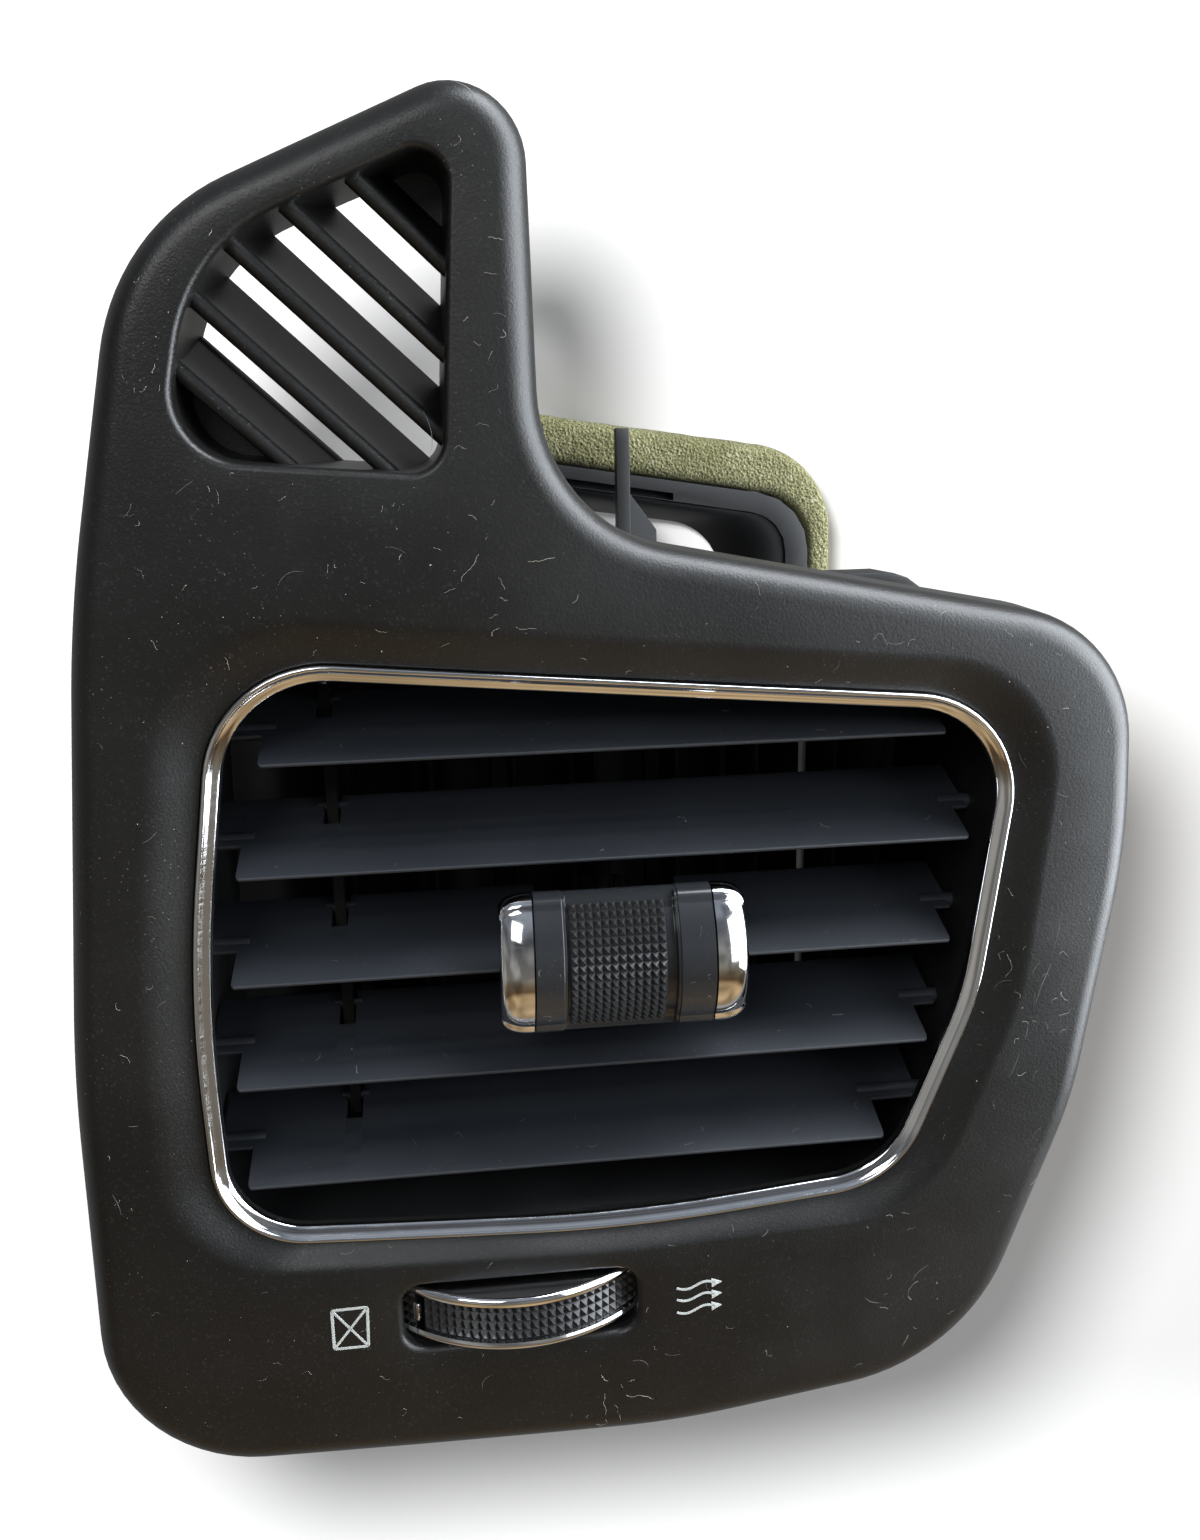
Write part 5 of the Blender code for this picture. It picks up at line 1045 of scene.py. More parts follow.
MARKER_ANGLE = -math.pi / 2 - math.radians(37)
knurl_half = seat_height - 0.00003
knurl_count, knurl_rows = 122, 4
angles = MARKER_ANGLE + 0.035 + np.linspace(0, 2 * math.pi - 0.070, knurl_count + 1)
heights = np.linspace(-knurl_half, knurl_half, knurl_rows + 1)
base_radius, peak_radius = WHEEL_RADIUS - 0.00115, WHEEL_RADIUS - 0.00025
corners = turned(base_radius, angles[:, None], heights[None])
band = pyramids(Shape(), corners, turned(peak_radius, middles(angles)[:, None], middles(heights)[None]))
under = turned(low_radius, angles[:, None], heights[None])
band.grid(under[:, ::-1]).walled(corners, under)
band = band.finish("knurled_band", LOOK["soft_black"], 12)
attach(band, "thumbwheel")
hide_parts("wheel_grip")
print("knurl pyramids", knurl_count * knurl_rows)

# %% [markdown]
# ## Foam band
#
# The foam was cut as a strip and pressed round the collar. Its faces belly out a little, its
# edges are soft, and the cut cells make it lumpy. A rounded section is carried from the collar's
# outline to the foam's, and low waves of several lengths push it in and out.

# %% Foam seal
collar_low, collar_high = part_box("inlet_seal")
foam_front = collar_low.y + FACE_ORIGIN[1]
FOAM_DEPTH = collar_high.y - collar_low.y
COLLAR = rounded(
    [
        (-0.0550, -0.0855, 0.010),
        (-0.0550, 0.0210, 0.010),
        (-0.0160, 0.0210, 0.005),
        (-0.0160, 0.0480, 0.010),
        (0.0565, 0.0362, 0.013),
        (0.0565, -0.0855, 0.010),
    ],
    16,
    40,
)
FOAM = rounded(
    [
        (-0.0612, -0.0917, 0.014),
        (-0.0612, 0.0275, 0.014),
        (-0.0225, 0.0275, 0.004),
        (-0.0225, 0.0590, 0.017),
        (0.0622, 0.0459, 0.019),
        (0.0622, -0.0917, 0.014),
    ],
    16,
    40,
)
collar_line = grown(COLLAR, GAP)
turn = np.linspace(0, 2 * math.pi, 33)[:-1]
SQUARE = 0.45
out_share, in_depth = ((np.sign(v) * np.abs(v) ** SQUARE + 1) / 2 for v in (np.cos(turn), np.sin(turn)))
LUMP, BULGE = 0.00016, 0.0002
rng = np.random.default_rng(7)
along = np.linspace(0, 2 * math.pi, len(FOAM), endpoint=False)
lumps = np.zeros((len(turn), len(FOAM)))
for waves in (9, 17, 31, 47, 71, 97):
    phase = rng.uniform(0, 2 * math.pi, 2)
    lumps += np.sin(along[None] * waves + phase[0] + 1.3 * np.sin(turn[:, None] + phase[1])) / waves**0.45
lumps *= LUMP
loops = []
for share, deep, wave in zip(out_share, in_depth, lumps):
    line = collar_line + (FOAM - collar_line) * share
    line = line + outward(FOAM) * (wave * share - BULGE)[:, None]
    y = foam_front + BULGE + (FOAM_DEPTH - 2 * BULGE) * deep + wave * (1 - abs(2 * deep - 1)) * 0.5
    loops.append(flat_at(line, y))
foam = Shape().grid(np.stack(loops), around=True, along=True).finish("foam_seal", LOOK["olive_foam"], 180)
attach(foam, "vent_body")
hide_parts("inlet_seal")
print("foam loops", len(loops), "of", len(FOAM))

# %% [markdown]
# ## Neck of the upper window
#
# Through the collar's upper window the eye meets a moulded neck that narrows towards the car's
# duct. It is a loft between two outlines, the window's and a smaller one deeper in, with a wall
# of even thickness. Its rim behind the flange also closes the narrow slot above the window.

# %% Inlet neck
WINDOW = rounded(
    [(-0.0120, 0.0170, 0.004), (-0.0120, 0.0430, 0.007), (0.0515, 0.0327, 0.009), (0.0515, 0.0170, 0.004)], 12, 14
)
NECK = rounded(
    [(-0.0085, 0.0180, 0.004), (-0.0085, 0.0372, 0.007), (0.0390, 0.0300, 0.013), (0.0390, 0.0180, 0.004)], 12, 14
)
flange_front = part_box("inlet_collar")[0].y + FACE_ORIGIN[1]


def neck_wall(start, end, front, reach):
    """Ten loops between two outlines: depth = front + reach (1 - cos a), a from 0 to a right angle."""
    shares = np.linspace(0, 1, 10)
    depths = flange_front + front + reach * (1 - np.cos(shares * math.pi / 2))
    return [flat_at(start * (1 - share) + end * share, y) for share, y in zip(shares, depths)]


inner_wall = neck_wall(grown(WINDOW, -0.0003), NECK, 0.0006, 0.0110)
outer_wall = neck_wall(grown(WINDOW, 0.0020), grown(NECK, 0.0010), 0.0032, 0.0086)
neck_grid = np.stack(inner_wall + outer_wall[::-1])
neck = Shape().grid(neck_grid, around=True, along=True).finish("inlet_neck", LOOK["plain_black"], 50)
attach(neck, "vent_body")
print("neck loops", neck_grid.shape)

# %% [markdown]
# ## Rib for the last shutter
#
# A closed shutter needs an edge to rest against, or it lets air and light past. A moulded rib
# beside the last leaf would do that. The picture doesn't show it, so its place is a guess and a
# plain box will do.

# %% Rib that the last shutter closes against
RIB_LOW, RIB_HIGH = (0.0541, 0.0830, -0.0860), (0.0570, 0.0841, 0.0165)
rib = Shape().box(seat(RIB_LOW), seat(RIB_HIGH)).finish("duct_stop_rib", LOOK["plain_black"], 40)
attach(rib, "vent_body")
print("rib height", round(RIB_HIGH[2] - RIB_LOW[2], 4))

# %% [markdown]
# ## Blades
#
# A blade is a thin wing: a round nose towards the cabin, a slow taper to the tail, a wider rear
# half that fills the barrel, and a notch where the tie bar passes. All of them share one section.
# Along the blade only the places of nose and tail change, so each step, corner and notch is a
# pair of stations with the same X.

# %% Blades
NOSE, TAIL, TAPER_START, TAPER_LENGTH = 0.0014, 0.0007, -0.0108, 0.0214
NOSE_ROUND, NOSE_RISE = 0.00035, 0.0065
BLADE_FRONT, BLADE_REAR, SHOULDER, BLADE_CORNER = 0.0122, 0.0113, 0.0030, 0.0008
TILT = math.radians(20)
TOP_BLADE_Z, BLADE_PITCH = 0.0047, 0.0190
TIE_X, TIE_ARM, TIE_CLEARANCE, TIE_NOTCH = -0.0450, 0.0085, 0.0005, 0.0025
KNOB_NOTCH, KNOB_NOTCH_REAR = 0.0132, BLADE_REAR * 0.57
FRONT_ENDS = [(-0.0545, 0.0600), (-0.0597, 0.0650), (-0.0622, 0.0625), (-0.0630, 0.0592), (-0.0628, 0.0518)]
PIN_REACH, PIN_INSIDE, PIN_RADIUS, TIE_PIN_RADIUS = 0.0073, 0.002, 0.0015, 0.0010
bar_low, bar_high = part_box("blade_tie_bar")
TIE_HALF = (bar_high.x - bar_low.x) / 2 + TIE_CLEARANCE


def half_thick(y):
    """Half the thickness of a blade at chord place y: a straight taper from nose to tail."""
    return NOSE - (NOSE - TAIL) * np.clip((y - TAPER_START) / TAPER_LENGTH, 0, 1)


def blade_loop(front, rear):
    """Section: a straight top, small half circles at both ends and an underside that rises to the nose."""
    nose = NOSE_ROUND
    tail = np.where(rear > 0.010, TAIL, 0.0003)
    turn = np.linspace(-math.pi / 2, math.pi / 2, 15)
    front_y = -front + nose
    rear_y = rear - tail
    share = np.linspace(0, 1, 14)[1:-1]
    top_y = front_y + (rear_y - front_y) * share
    nose_z = half_thick(front_y) - nose
    nose_part = np.stack([front_y - nose * np.cos(turn), nose_z + nose * np.sin(turn)], axis=1)
    top_part = np.stack([top_y, half_thick(top_y)], axis=1)
    tail_part = np.stack([rear_y + tail * np.cos(turn), -half_thick(rear_y) * np.sin(turn)], axis=1)
    low_y = top_y[::-1]
    rise = np.clip((front_y + NOSE_RISE - low_y) / NOSE_RISE, 0, 1) ** 2
    low_part = np.stack([low_y, -half_thick(low_y) * (1 - rise) + (nose_z - nose) * rise], axis=1)
    return np.concatenate([nose_part, top_part, tail_part, low_part])


def tilted(x, y, z, height):
    """Blade coordinates to the frame: turned 20 degrees about X, so that the nose hangs lower."""
    turned_y = BLADE_AXIS_Y + y * math.cos(TILT) - z * math.sin(TILT)
    turned_z = height + y * math.sin(TILT) + z * math.cos(TILT)
    return seat(np.stack(np.broadcast_arrays(x, turned_y, turned_z), axis=-1))


def pin(shape, start, end, radius, y, height):
    """A round pin along X at blade coordinate y."""
    angle = np.linspace(0, 2 * math.pi, 20, endpoint=False)
    shape.capped([tilted(x, y + radius * np.cos(angle), radius * np.sin(angle), height) for x in (start, end)])


corner_share = np.linspace(0, 1, 6)
corner_front = BLADE_FRONT - BLADE_CORNER + BLADE_CORNER * np.sqrt(1 - (1 - corner_share) ** 2)
rounding = list(zip(BLADE_CORNER * corner_share, corner_front))
for number, (left, right) in enumerate(FRONT_ENDS):
    node = f"blade_{number + 1}"
    low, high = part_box(node)
    pin_left, pin_right = low.x + FACE_ORIGIN[0], high.x + FACE_ORIGIN[0]
    height = TOP_BLADE_Z - BLADE_PITCH * number
    stops = [(pin_left + PIN_REACH, SHOULDER, BLADE_REAR), (left, SHOULDER, BLADE_REAR)]
    stops += [(left + inset, front, BLADE_REAR) for inset, front in rounding]
    cuts = [(TIE_X, TIE_HALF, TIE_NOTCH)]
    if number == 2:
        cuts.append((KNOB_X, KNOB_NOTCH, KNOB_NOTCH_REAR))
    for middle, half, rear in cuts:
        stops += [(middle - half, BLADE_FRONT, BLADE_REAR), (middle - half, BLADE_FRONT, rear)]
        stops += [(middle + half, BLADE_FRONT, rear), (middle + half, BLADE_FRONT, BLADE_REAR)]
    stops += [(right - inset, front, BLADE_REAR) for inset, front in rounding[::-1]]
    stops += [(right, SHOULDER, BLADE_REAR), (pin_right - PIN_REACH, SHOULDER, BLADE_REAR)]
    loops = []
    for x, front, rear in stops:
        loop = blade_loop(front, rear)
        loops.append(tilted(np.full(len(loop), x), loop[:, 0], loop[:, 1], height))
    wing = Shape().capped(loops)
    pin(wing, pin_left, left + PIN_INSIDE, PIN_RADIUS, 0.0, height)
    pin(wing, right - PIN_INSIDE, pin_right, PIN_RADIUS, 0.0, height)
    pin(wing, TIE_X - TIE_HALF - 0.001, TIE_X + TIE_HALF + 0.001, TIE_PIN_RADIUS, TIE_ARM, height)
    wing = wing.finish(f"{node}_wing", LOOK["satin_black"], 35)
    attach(wing, f"{node}_body")
    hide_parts(node)
print("blade stations", len(stops), "section points", len(blade_loop(BLADE_FRONT, BLADE_REAR)))

# %% [markdown]
# ## Every other piece
#
# The remaining pieces have the right shape already: vanes, housing, duct, links, shutters, screws
# and clips. What they lack is the small radius that every moulded or pressed edge has. A copy of
# each is welded, its flat faces are joined, its sharp edges get a narrow bevel, and the copy
# stands for the piece it came from. The vanes and tie bars get a dull black, darker than their
# plastic, as painted shade: deep in the barrel hardly any light reaches them.

# %% Softened copies of the plain pieces
BODY_OF = {name: body for body, names in frame["record"]["behaviour"]["bodies"].items() for name in names}
SLOT_OF = {part["node"]: part["material_slot"] for part in frame["record"]["subparts"]}


def softened(node, width):
    """A copy of a node: welded, flat faces joined, and edges over 48 degrees bevelled."""
    mesh = frame["nodes"][node].data.copy()
    work = bmesh.new()
    work.from_mesh(mesh)
    bmesh.ops.remove_doubles(work, verts=work.verts, dist=1e-6)
    bmesh.ops.dissolve_limit(work, angle_limit=math.radians(1), verts=work.verts, edges=work.edges)
    sharp = [e for e in work.edges if len(e.link_faces) == 2 and e.calc_face_angle(0) > math.radians(48)]
    bmesh.ops.bevel(work, geom=sharp, offset=width, segments=2, profile=0.6, affect="EDGES", clamp_overlap=True)
    bmesh.ops.triangulate(work, faces=[f for f in work.faces if len(f.verts) > 4])
    work.to_mesh(mesh)
    work.free()
    mesh.name = f"{node}_softened"
    mesh.shade_smooth()
    mesh.set_sharp_from_angle(angle=math.radians(50))
    return mesh


shown = [name for name, item in frame["nodes"].items() if not item.hide_render]
WIDTHS = {"shutter_duct": 0.0003, "inlet_collar": 0.0003, "wheel_marker": 0.0002}
# Pieces deep in the barrel, which take the black that is darkened as painted shade.
INSIDE = ["blade_tie_bar", "vane_tie_bar", *(f"vane_{number}" for number in range(1, 8))]
for node in sorted(shown):
    look = LOOK["painted_shade_black" if node in INSIDE else SLOT_OF[node]]
    copy = place(f"{node}_piece", softened(node, WIDTHS.get(node, 0.00018)), look)
    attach(copy, BODY_OF[node])
    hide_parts(node)
print("softened pieces", len(shown))

# %% [markdown]
# ## Printed signs
#
# Beside the wheel two generic signs are printed in pale grey: a crossed box for a closed vent
# and three wavy arrows for an open one. Each stroke is a flat ribbon along a path, laid a few
# hundredths of a millimetre above the face.

# %% Ribbons on the face


def ribbon(shape, path, width, lift=0.00004, closed=False):
    """A flat ribbon: the path moved half a width to each side, its edges sunk into the face."""
    path = np.asarray(path, float)
    if closed:
        tangent = np.roll(path, -1, axis=0) - np.roll(path, 1, axis=0)
    else:
        tangent = np.gradient(path, axis=0)
    tangent /= np.maximum(np.linalg.norm(tangent, axis=1), 1e-9)[:, None]
    normal = np.stack([-tangent[:, 1], tangent[:, 0]], axis=1)
    half = np.broadcast_to(np.asarray(width, float) / 2, (len(path),))[:, None]
    sides = []
    for side, height in ((-1, -0.00002), (-0.75, lift), (0.75, lift), (1, -0.00002)):
        spots = path + normal * half * side
        sides.append(flat_at(spots, face_depth(spots) - height))
    loops = np.stack(sides, axis=1)
    return shape.grid(loops, around=True, along=True) if closed else shape.capped(loops)


signs = Shape()
STROKE, WAVE = 0.00058, 0.00052
ARROW_START, ARROW_END, HEAD_START, HEAD_END = 0.0118, 0.0188, 0.0182, 0.0200
sign_box = [(-0.0496, -0.1038), (-0.0495, -0.0959), (-0.0433, -0.0957), (-0.0436, -0.1037)]
ribbon(signs, rounded([(*corner, 0.0004) for corner in sign_box], 5, 8), STROKE, closed=True)
for start, end in ((0, 2), (1, 3)):
    ribbon(signs, np.linspace(sign_box[start], sign_box[end], 12), STROKE * 0.9)
for tail, tip in ((-0.0975, -0.0970), (-0.0999, -0.0994), (-0.1026, -0.1019)):
    share = np.linspace(0, 1, 26)
    x = ARROW_START + (ARROW_END - ARROW_START) * share
    z = tail + (tip - tail) * share - WAVE * np.sin(share * 2 * math.pi)
    ribbon(signs, np.stack([x, z], axis=1), STROKE * 0.95)
    head = np.linspace((HEAD_START, tip), (HEAD_END, tip + 0.0001), 6)
    ribbon(signs, head, np.linspace(0.0021, 0.0002, 6))
signs = signs.finish("printed_signs", LOOK["print_grey"], 30, merge=0)
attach(signs, "vent_body")
print("sign faces", len(signs.data.polygons))

# %% [markdown]
# ## Scratches
#
# This vent came out of a used car. Pale scratches cross the right side and the top of the tower.
# A scratch is a ribbon a tenth of a millimetre wide that narrows towards its ends. The longer
# ones are listed one by one, and sixty short ones are drawn from one seeded generator.

# %% Scratches
LIFT = 0.00003
scratches = Shape()


def on_face(spots, edge, outlet, slot):
    """True for points on the open face, with a margin to its edge, the outlet and the slot."""
    taken = inside(spots, grown(OUTLET, outlet)) | inside(spots, TOWER_FACE) | inside(spots, grown(SLOT, slot))
    return inside(spots, grown(BEZEL, -edge)) & ~taken


def curved(start, end, bow, steps=14):
    """An arc-like line from start to end that bows sideways by a share of its length."""
    start, end = np.array(start), np.array(end)
    share = np.linspace(0, 1, steps)[:, None]
    side = np.array([-(end - start)[1], (end - start)[0]])
    return start + (end - start) * share + side * bow * 4 * share * (1 - share)


marks = [
    ((-0.0186, 0.1005), (-0.0150, 0.0972), 0.16, 0.00022),
    ((0.0788, -0.0395), (0.0770, -0.0440), 0.02, 0.00016),
    ((0.0780, -0.0420), (0.0763, -0.0475), -0.03, 0.00012),
    ((0.0800, -0.0300), (0.0790, -0.0370), 0.03, 0.00010),
    ((0.0740, -0.0560), (0.0722, -0.0610), 0.05, 0.00012),
    ((0.0752, -0.0510), (0.0748, -0.0538), 0.05, 0.00016),
    ((0.0560, -0.1010), (0.0590, -0.0980), 0.10, 0.00014),
    ((0.0500, -0.1050), (0.0470, -0.1035), 0.12, 0.00016),
    ((-0.0480, 0.0310), (-0.0440, 0.0330), 0.2, 0.00010),
    ((-0.0840, -0.0700), (-0.0830, -0.0740), 0.05, 0.00012),
    ((-0.0250, 0.0560), (-0.0240, 0.0500), 0.1, 0.00008),
    ((0.0035, -0.1120), (0.0065, -0.1135), 0.2, 0.00012),
    ((-0.0240, -0.1150), (-0.0220, -0.1120), 0.2, 0.00012),
]
taper = 1 - 0.8 * np.linspace(-1, 1, 14) ** 2
for start, end, bow, width in marks:
    ribbon(scratches, curved(start, end, bow), width * taper, LIFT)
for _ in range(60):
    start = np.array([rng.uniform(-0.083, 0.083), rng.uniform(-0.120, 0.095)])
    length, heading = rng.uniform(0.0008, 0.0035), rng.uniform(0, math.pi)
    end = start + length * np.array([math.cos(heading), math.sin(heading)])
    spots = np.stack([start, end])
    if on_face(spots, 0.002, 0.0, 0.002).all():
        ribbon(scratches, curved(start, end, rng.uniform(-0.15, 0.15), 8), rng.uniform(0.00005, 0.00009), LIFT)
scratches = scratches.finish("scratches", LOOK["scuffed"], 30, merge=0)
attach(scratches, "vent_body")
print("scratch faces", len(scratches.data.polygons))

# %% [markdown]
# ## Fibres and dust
#
# Fine fibres cling to everything and dust lies in specks. A fibre is a thin three-sided tube along
# a wandering path, and a speck is a tiny eight-sided grain. The specks are one array: an
# octahedron's six corners are scaled and moved to every place at once.

# %% Fibres and specks
CURL, FIBRES, SPECKS = 1.2, 150, 900


def fibre(shape, path, radius):
    """A thin three-sided tube round a path, with flat ends."""
    path = np.asarray(path, float)
    tangent = np.gradient(path, axis=0)
    tangent /= np.maximum(np.linalg.norm(tangent, axis=1), 1e-12)[:, None]
    side = np.cross(tangent, [0.31, 0.87, 0.39])
    side /= np.linalg.norm(side, axis=1)[:, None]
    up = np.cross(tangent, side)
    angle = np.array([0, 2, 4]) * math.pi / 3
    ring = path[:, None] + radius * (side[:, None] * np.cos(angle)[:, None] + up[:, None] * np.sin(angle)[:, None])
    return shape.capped(ring)


def wander(start, length, steps):
    """A flat wandering line: its heading turns by a random walk."""
    heading = rng.uniform(0, 2 * math.pi) + np.cumsum(rng.normal(0, CURL / math.sqrt(steps), steps))
    stride = length / steps * np.stack([np.cos(heading), np.sin(heading)], axis=1)
    return np.concatenate([[start], start + np.cumsum(stride, axis=0)])


CLUSTERS = np.array(
    [(0.055, -0.095), (0.000, -0.117), (0.072, -0.045), (-0.020, 0.030), (-0.028, 0.062), (0.045, 0.012)]
)
lint = Shape()
made = 0
while made < FIBRES:
    spot = np.array([rng.uniform(-0.086, 0.088), rng.uniform(-0.122, 0.100)])
    if made % 3 == 0:
        spot = CLUSTERS[rng.integers(len(CLUSTERS))] + rng.normal(0, 0.007, 2)
    length = rng.uniform(0.0025, 0.0055) if made % 12 == 0 else rng.uniform(0.0006, 0.0024)
    line = wander(spot, length, 10)
    if on_face(line, 0.0015, 0.0004, 0.0015).all():
        fibre(lint, flat_at(line, face_depth(line) - LIFT), rng.uniform(0.000012, 0.000026))
        made += 1
lint = lint.finish("lint_on_bezel", LOOK["pale_lint"], 60, merge=0)
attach(lint, "vent_body")

specks = Shape()
octahedron = np.array([(1, 0, 0), (0, 0, 1), (-1, 0, 0), (0, 0, -1), (0, -0.5, 0), (0, 0.5, 0)], float)
octahedron_faces = np.array([(0, 1, 4), (1, 2, 4), (2, 3, 4), (3, 0, 4), (1, 0, 5), (2, 1, 5), (3, 2, 5), (0, 3, 5)])


def grains(shape, centres, sizes):
    """An octahedron of its own size at each centre."""
    points = centres[:, None] + octahedron * sizes[:, None, None]
    return shape.add(points, [octahedron_faces + len(octahedron) * number for number in range(len(sizes))])


spots = np.stack([rng.uniform(-0.088, 0.090, SPECKS), rng.uniform(-0.124, 0.102, SPECKS)], axis=1)
spots = spots[on_face(spots, 0.001, 0.0003, 0.0013)]
grains(specks, flat_at(spots, face_depth(spots)), rng.gamma(2.0, 0.000024, len(spots)).clip(0.00002, 0.00014))
specks = specks.finish("dust_on_bezel", LOOK["pale_lint"], 60, merge=0, turn=False)
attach(specks, "vent_body")
print("fibres", made, "specks", len(spots))

# %% [markdown]
# ## Lint on what moves, and on the foam
#
# Lint on a blade has to move with it, so each blade and the knob carry a piece of their own. The
# fibres are drawn flat, and each surface has a function that lays flat coordinates on it.

# %% Lint on blades, knob and foam


def litter(name, body, lay, fibres, specks_count, spread):
    """Fibres and specks on a surface: lay turns two flat coordinates and a lift into points."""
    shape = Shape()
    for _ in range(fibres):
        line = wander(rng.uniform(*spread), rng.uniform(0.0006, 0.0022), 8)
        line = np.clip(line, *spread)
        fibre(shape, lay(line[:, 0], line[:, 1], 0.00002), rng.uniform(0.000011, 0.000020))
    spots = rng.uniform(*spread, (specks_count, 2))
    sizes = rng.gamma(2.0, 0.000018, specks_count).clip(0.000015, 0.00008)
    grains(shape, lay(spots[:, 0], spots[:, 1], 0.0), sizes)
    piece = shape.finish(name, LOOK["pale_lint"], 60, merge=0, turn=False)
    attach(piece, body)


def blade_top(height):
    """Lays points on a blade's top: x along it, y along its chord."""

    def lay(x, y, lift):
        return tilted(x, y, half_thick(y) + lift, height)

    return lay


for number, (left, right) in enumerate(FRONT_ENDS):
    spread = ((left + 0.003, -0.0115), (right - 0.003, -0.0010))
    lay = blade_top(TOP_BLADE_Z - BLADE_PITCH * number)
    litter(f"lint_on_blade_{number + 1}", f"blade_{number + 1}_body", lay, 9, 34, spread)


def knob_face(x, angle, lift):
    """Lays points on the knob's convex face: x along it, the angle scaled as a height."""
    angle = angle / FACE_RADIUS
    radius = FACE_RADIUS + lift - 0.00001
    return knob_place(x, -face_centre - radius * np.cos(angle), radius * np.sin(angle))


for side, name in ((-1, "lint_on_knob_left"), (1, "lint_on_knob_right")):
    low, high = sorted((PAD_X + side * (PAD_WIDTH / 2 + 0.0014), side * (half_body - 0.0004)))
    litter(name, "knob", knob_face, 4, 16, ((low, -0.0105), (high, 0.0105)))


def foam_top(x, drop, lift):
    """Lays points on the foam's front edge: x along it, drop below its outline."""
    line_z = np.interp(x, [-0.0125, 0.050], [0.0570, 0.0478])
    return seat(np.stack(np.broadcast_arrays(x, foam_front + 0.00045 - lift, line_z - drop), axis=-1))


litter("lint_on_foam", "vent_body", foam_top, 26, 30, ((-0.010, 0.0030), (0.044, 0.0090)))

# %% [markdown]
# ## Stage, light and camera
#
# The vent is photographed lying on its back on white paper, so the paper stands close behind it
# and sweeps forward well below it. The camera sees it lit, with a faint glow of its own that
# carries it to white where no shadow falls. Mirrors see an even grey, and the chrome stays calm.

# %% White sweep behind and below


def sweep_stage():
    """Wall, curve and floor as one sheet: a profile of depth and height, carried along X."""
    low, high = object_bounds()
    floor_z, wall_y = low.z - 0.20, high.y + 0.0005
    bend, floor_front, top, half_width = 0.12, -0.04, 1.2, 1.4
    turn = np.linspace(0, math.pi / 2, 24)
    curve = np.stack([wall_y - bend + bend * np.sin(turn), floor_z + bend * (1 - np.cos(turn))], axis=1)
    profile = np.concatenate([[(floor_front, floor_z)], curve, [(wall_y, top)]])
    return Shape().grid(np.stack([np.insert(profile, 0, x, axis=1) for x in (half_width, -half_width)]))


def white_paper():
    """Camera rays see lit paper with a faint glow; other rays see an even grey, and none from behind."""
    sheet = Finish("white_paper", (0.80, 0.80, 0.80), 0.9)
    rays = ("Is Camera Ray", "Is Glossy Ray", "Is Transmission Ray")
    seen, glossy, passed = (sheet.node("ShaderNodeLightPath", output=ray) for ray in rays)
    glow = sheet.node("ShaderNodeEmission", {}, {"Strength": seen * 0.15})
    even = sheet.node("ShaderNodeEmission", {}, {"Strength": (glossy + passed) * 0.17 + 0.18})
    lit = sheet.node("ShaderNodeAddShader", {}, {0: Wire(sheet, sheet.shader.outputs[0]), 1: glow})
    front = sheet.node("ShaderNodeMixShader", {}, {0: seen, 1: even, 2: lit})
    behind = sheet.node("ShaderNodeNewGeometry", output="Backfacing")
    clear = sheet.node("ShaderNodeBsdfTransparent")
    either = sheet.node("ShaderNodeMixShader", {}, {0: behind, 1: front, 2: clear})
    sheet.feed(either, "Material Output", "Surface")
    return sheet.material


paper = sweep_stage().finish("sweep", white_paper(), 60, merge=0, turn=False)
print("sweep normal", tuple(round(c, 2) for c in paper.data.polygons[-1].normal))

# %% [markdown]
# ## Lamps
#
# Five soft lamps stand where highlights in the picture put windows and a ceiling. None lights the
# paper, and some spare pieces that came out brighter than in the picture: the vanes deep inside,
# the blades, the slats and the foam. The paper has one lamp of its own near the camera, up and to
# the left, for one soft grey shadow. Its light doesn't weaken with distance, so that the far
# paper stays as white as the near.

# %% Lamps
MIDDLE = Vector((-0.048, 0.0, 0.095))
COOL, COOLER = (0.90, 0.95, 1.0), (0.88, 0.94, 1.0)


def hang(data, place_at, listed, state):
    """A lamp out of the camera's sight, which lights only the listed pieces or all but those."""
    item = bpy.data.objects.new(data.name, data)
    bpy.context.collection.objects.link(item)
    item.location = Vector(place_at)
    item.visible_camera = False
    group = bpy.data.collections.new(f"{data.name}_group")
    for piece in listed:
        group.objects.link(piece)
    for member in group.collection_objects:
        member.light_linking.link_state = state
    item.light_linking.receiver_collection = group
    return item


def lamp(name, direction, distance, size, watts, colour, spared=()):
    """A rectangular soft lamp facing the part, which lights all but the paper and the spared pieces."""
    data = bpy.data.lights.new(name, "AREA")
    data.shape = "RECTANGLE"
    data.size, data.size_y = size
    data.energy = watts
    data.color = colour
    item = hang(data, MIDDLE + Vector(direction).normalized() * distance, (paper, *spared), "EXCLUDE")
    item.rotation_mode = "QUATERNION"
    item.rotation_quaternion = (item.location - MIDDLE).to_track_quat("Z", "Y")


def paper_lamp(place_at, radius, strength):
    """A round lamp for the paper alone, whose light doesn't weaken with distance."""
    data = bpy.data.lights.new("paper_lamp", "POINT")
    data.shadow_soft_size = radius
    data.energy = strength
    sheet = Sheet(data)
    sheet.feed(sheet.node("ShaderNodeLightFalloff", {}, {"Strength": 1.0}, "Constant"), "Emission", "Strength")
    hang(data, place_at, (paper,), "INCLUDE").visible_glossy = False


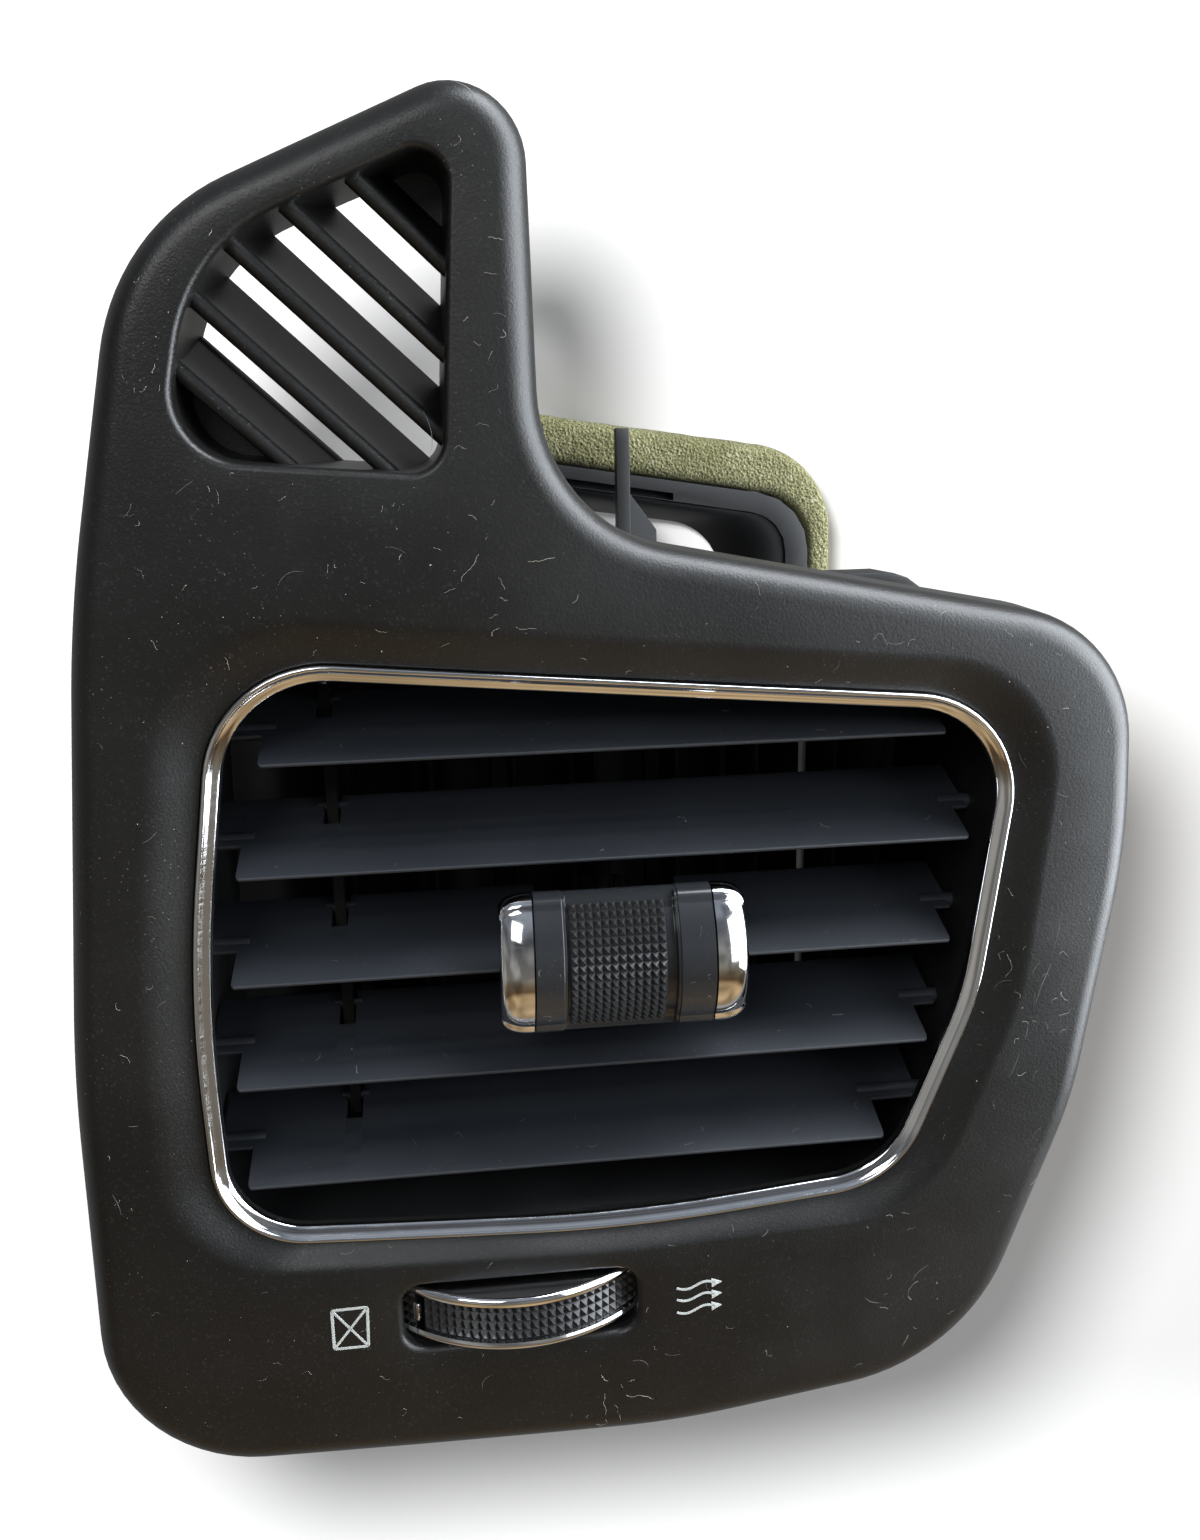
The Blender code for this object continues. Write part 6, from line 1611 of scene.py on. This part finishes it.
DEEP = [bpy.data.objects[f"{node}_piece"] for node in INSIDE]
BLADES = [bpy.data.objects[f"blade_{number}_wing"] for number in range(1, 6)]
lamp("key", (-0.45, -0.85, 0.60), 1.10, (0.50, 0.40), 3.5, (1.0, 1.0, 1.0))
lamp("window", (0.66, -0.74, 0.10), 0.90, (0.44, 0.82), 3.5, COOLER, DEEP)
lamp("overhead", (0.50, -0.20, 0.85), 0.70, (0.45, 0.50), 7.5, COOL, [slats])
lamp("side", (0.975, -0.20, 0.10), 0.55, (0.55, 0.75), 13.0, COOLER, DEEP + BLADES)
lamp("zenith", (0.33, 0.08, 0.94), 0.75, (0.45, 0.22), 1.8, COOL, [slats, foam])
paper_lamp(seat((-0.079, -0.225, 0.126)), 0.038, 51.0)
print("pieces inside that two lamps spare", len(DEEP))

# %% [markdown]
# ## A room for the chrome to mirror
#
# Chrome shows what stands round it. A real room is reduced to bands of colour by height, a warm
# table below and a cool ceiling above, and large soft blotches break them up. The camera itself
# sees plain white there.

# %% A room for the chrome to mirror
ROOM = [
    (-1.00, (0.50, 0.36, 0.20)),
    (-0.74, (0.46, 0.32, 0.17)),
    (-0.66, (0.10, 0.06, 0.03)),
    (-0.52, (0.15, 0.12, 0.08)),
    (-0.38, (0.30, 0.285, 0.255)),
    (0.00, (0.23, 0.23, 0.225)),
    (0.35, (0.09, 0.095, 0.105)),
    (0.60, (0.17, 0.19, 0.22)),
    (1.00, (0.30, 0.33, 0.38)),
]


def room():
    """World colour by height: a warm table below, a grey room, a cool ceiling; white to the camera."""
    world = bpy.data.worlds.new("room")
    bpy.context.scene.world = world
    sheet = Sheet(world)
    direction = sheet.node("ShaderNodeTexCoord", output="Generated")
    height = sheet.node("ShaderNodeSeparateXYZ", {}, {0: direction}, "Z") * 0.5 + 0.5
    ramp = sheet.node("ShaderNodeValToRGB", {}, {0: height})
    stops = ramp.socket.node.color_ramp.elements
    while len(stops) < len(ROOM):
        stops.new(0.5)
    for stop, (level, colour) in zip(stops, ROOM):
        stop.position = level / 2 + 0.5
        stop.color = (*colour, 1.0)
    blotches = sheet.node("ShaderNodeTexNoise", {}, {"Vector": direction, "Scale": 2.2, "Detail": 1.5})
    contrast = sheet.node("ShaderNodeMapRange", {}, {0: blotches, 1: 0.38, 2: 0.62, 3: 0.60, 4: 1.40})
    multiply = {"data_type": "RGBA", "blend_type": "MULTIPLY"}
    varied = sheet.node("ShaderNodeMix", multiply, {0: 1.0, 6: ramp, 7: contrast}, 2)
    seen = sheet.node("ShaderNodeLightPath", output="Is Camera Ray")
    sheet.feed(sheet.mix(seen, varied, (1.0, 1.0, 1.0)), "Background", "Color")


room()

# %% [markdown]
# ## Camera
#
# The camera stands where the photographer stood, worked out from how the outlines foreshorten:
# a little left of the middle, at a distance of about twenty centimetres, looking slightly down.

# %% Camera
eye = seat([-0.0215, -0.1998, 0.0538])
RIGHT, UP, AHEAD = (0.9935, -0.1131, -0.0223), (0.0507, 0.2548, 0.9657), (0.1035, 0.9606, -0.2588)
turned_axes = Matrix((RIGHT, UP, -Vector(AHEAD))).transposed().to_4x4()
camera_data = bpy.data.cameras.new("camera")
camera_data.lens = 30.39
camera_data.sensor_width = 36.0
camera_data.clip_start = 0.01
camera = bpy.data.objects.new("camera", camera_data)
bpy.context.collection.objects.link(camera)
camera.matrix_world = Matrix.Translation(eye) @ turned_axes
bpy.context.scene.camera = camera
bpy.context.scene.view_settings.view_transform = "Standard"
print("eye", [round(float(value), 4) for value in eye])
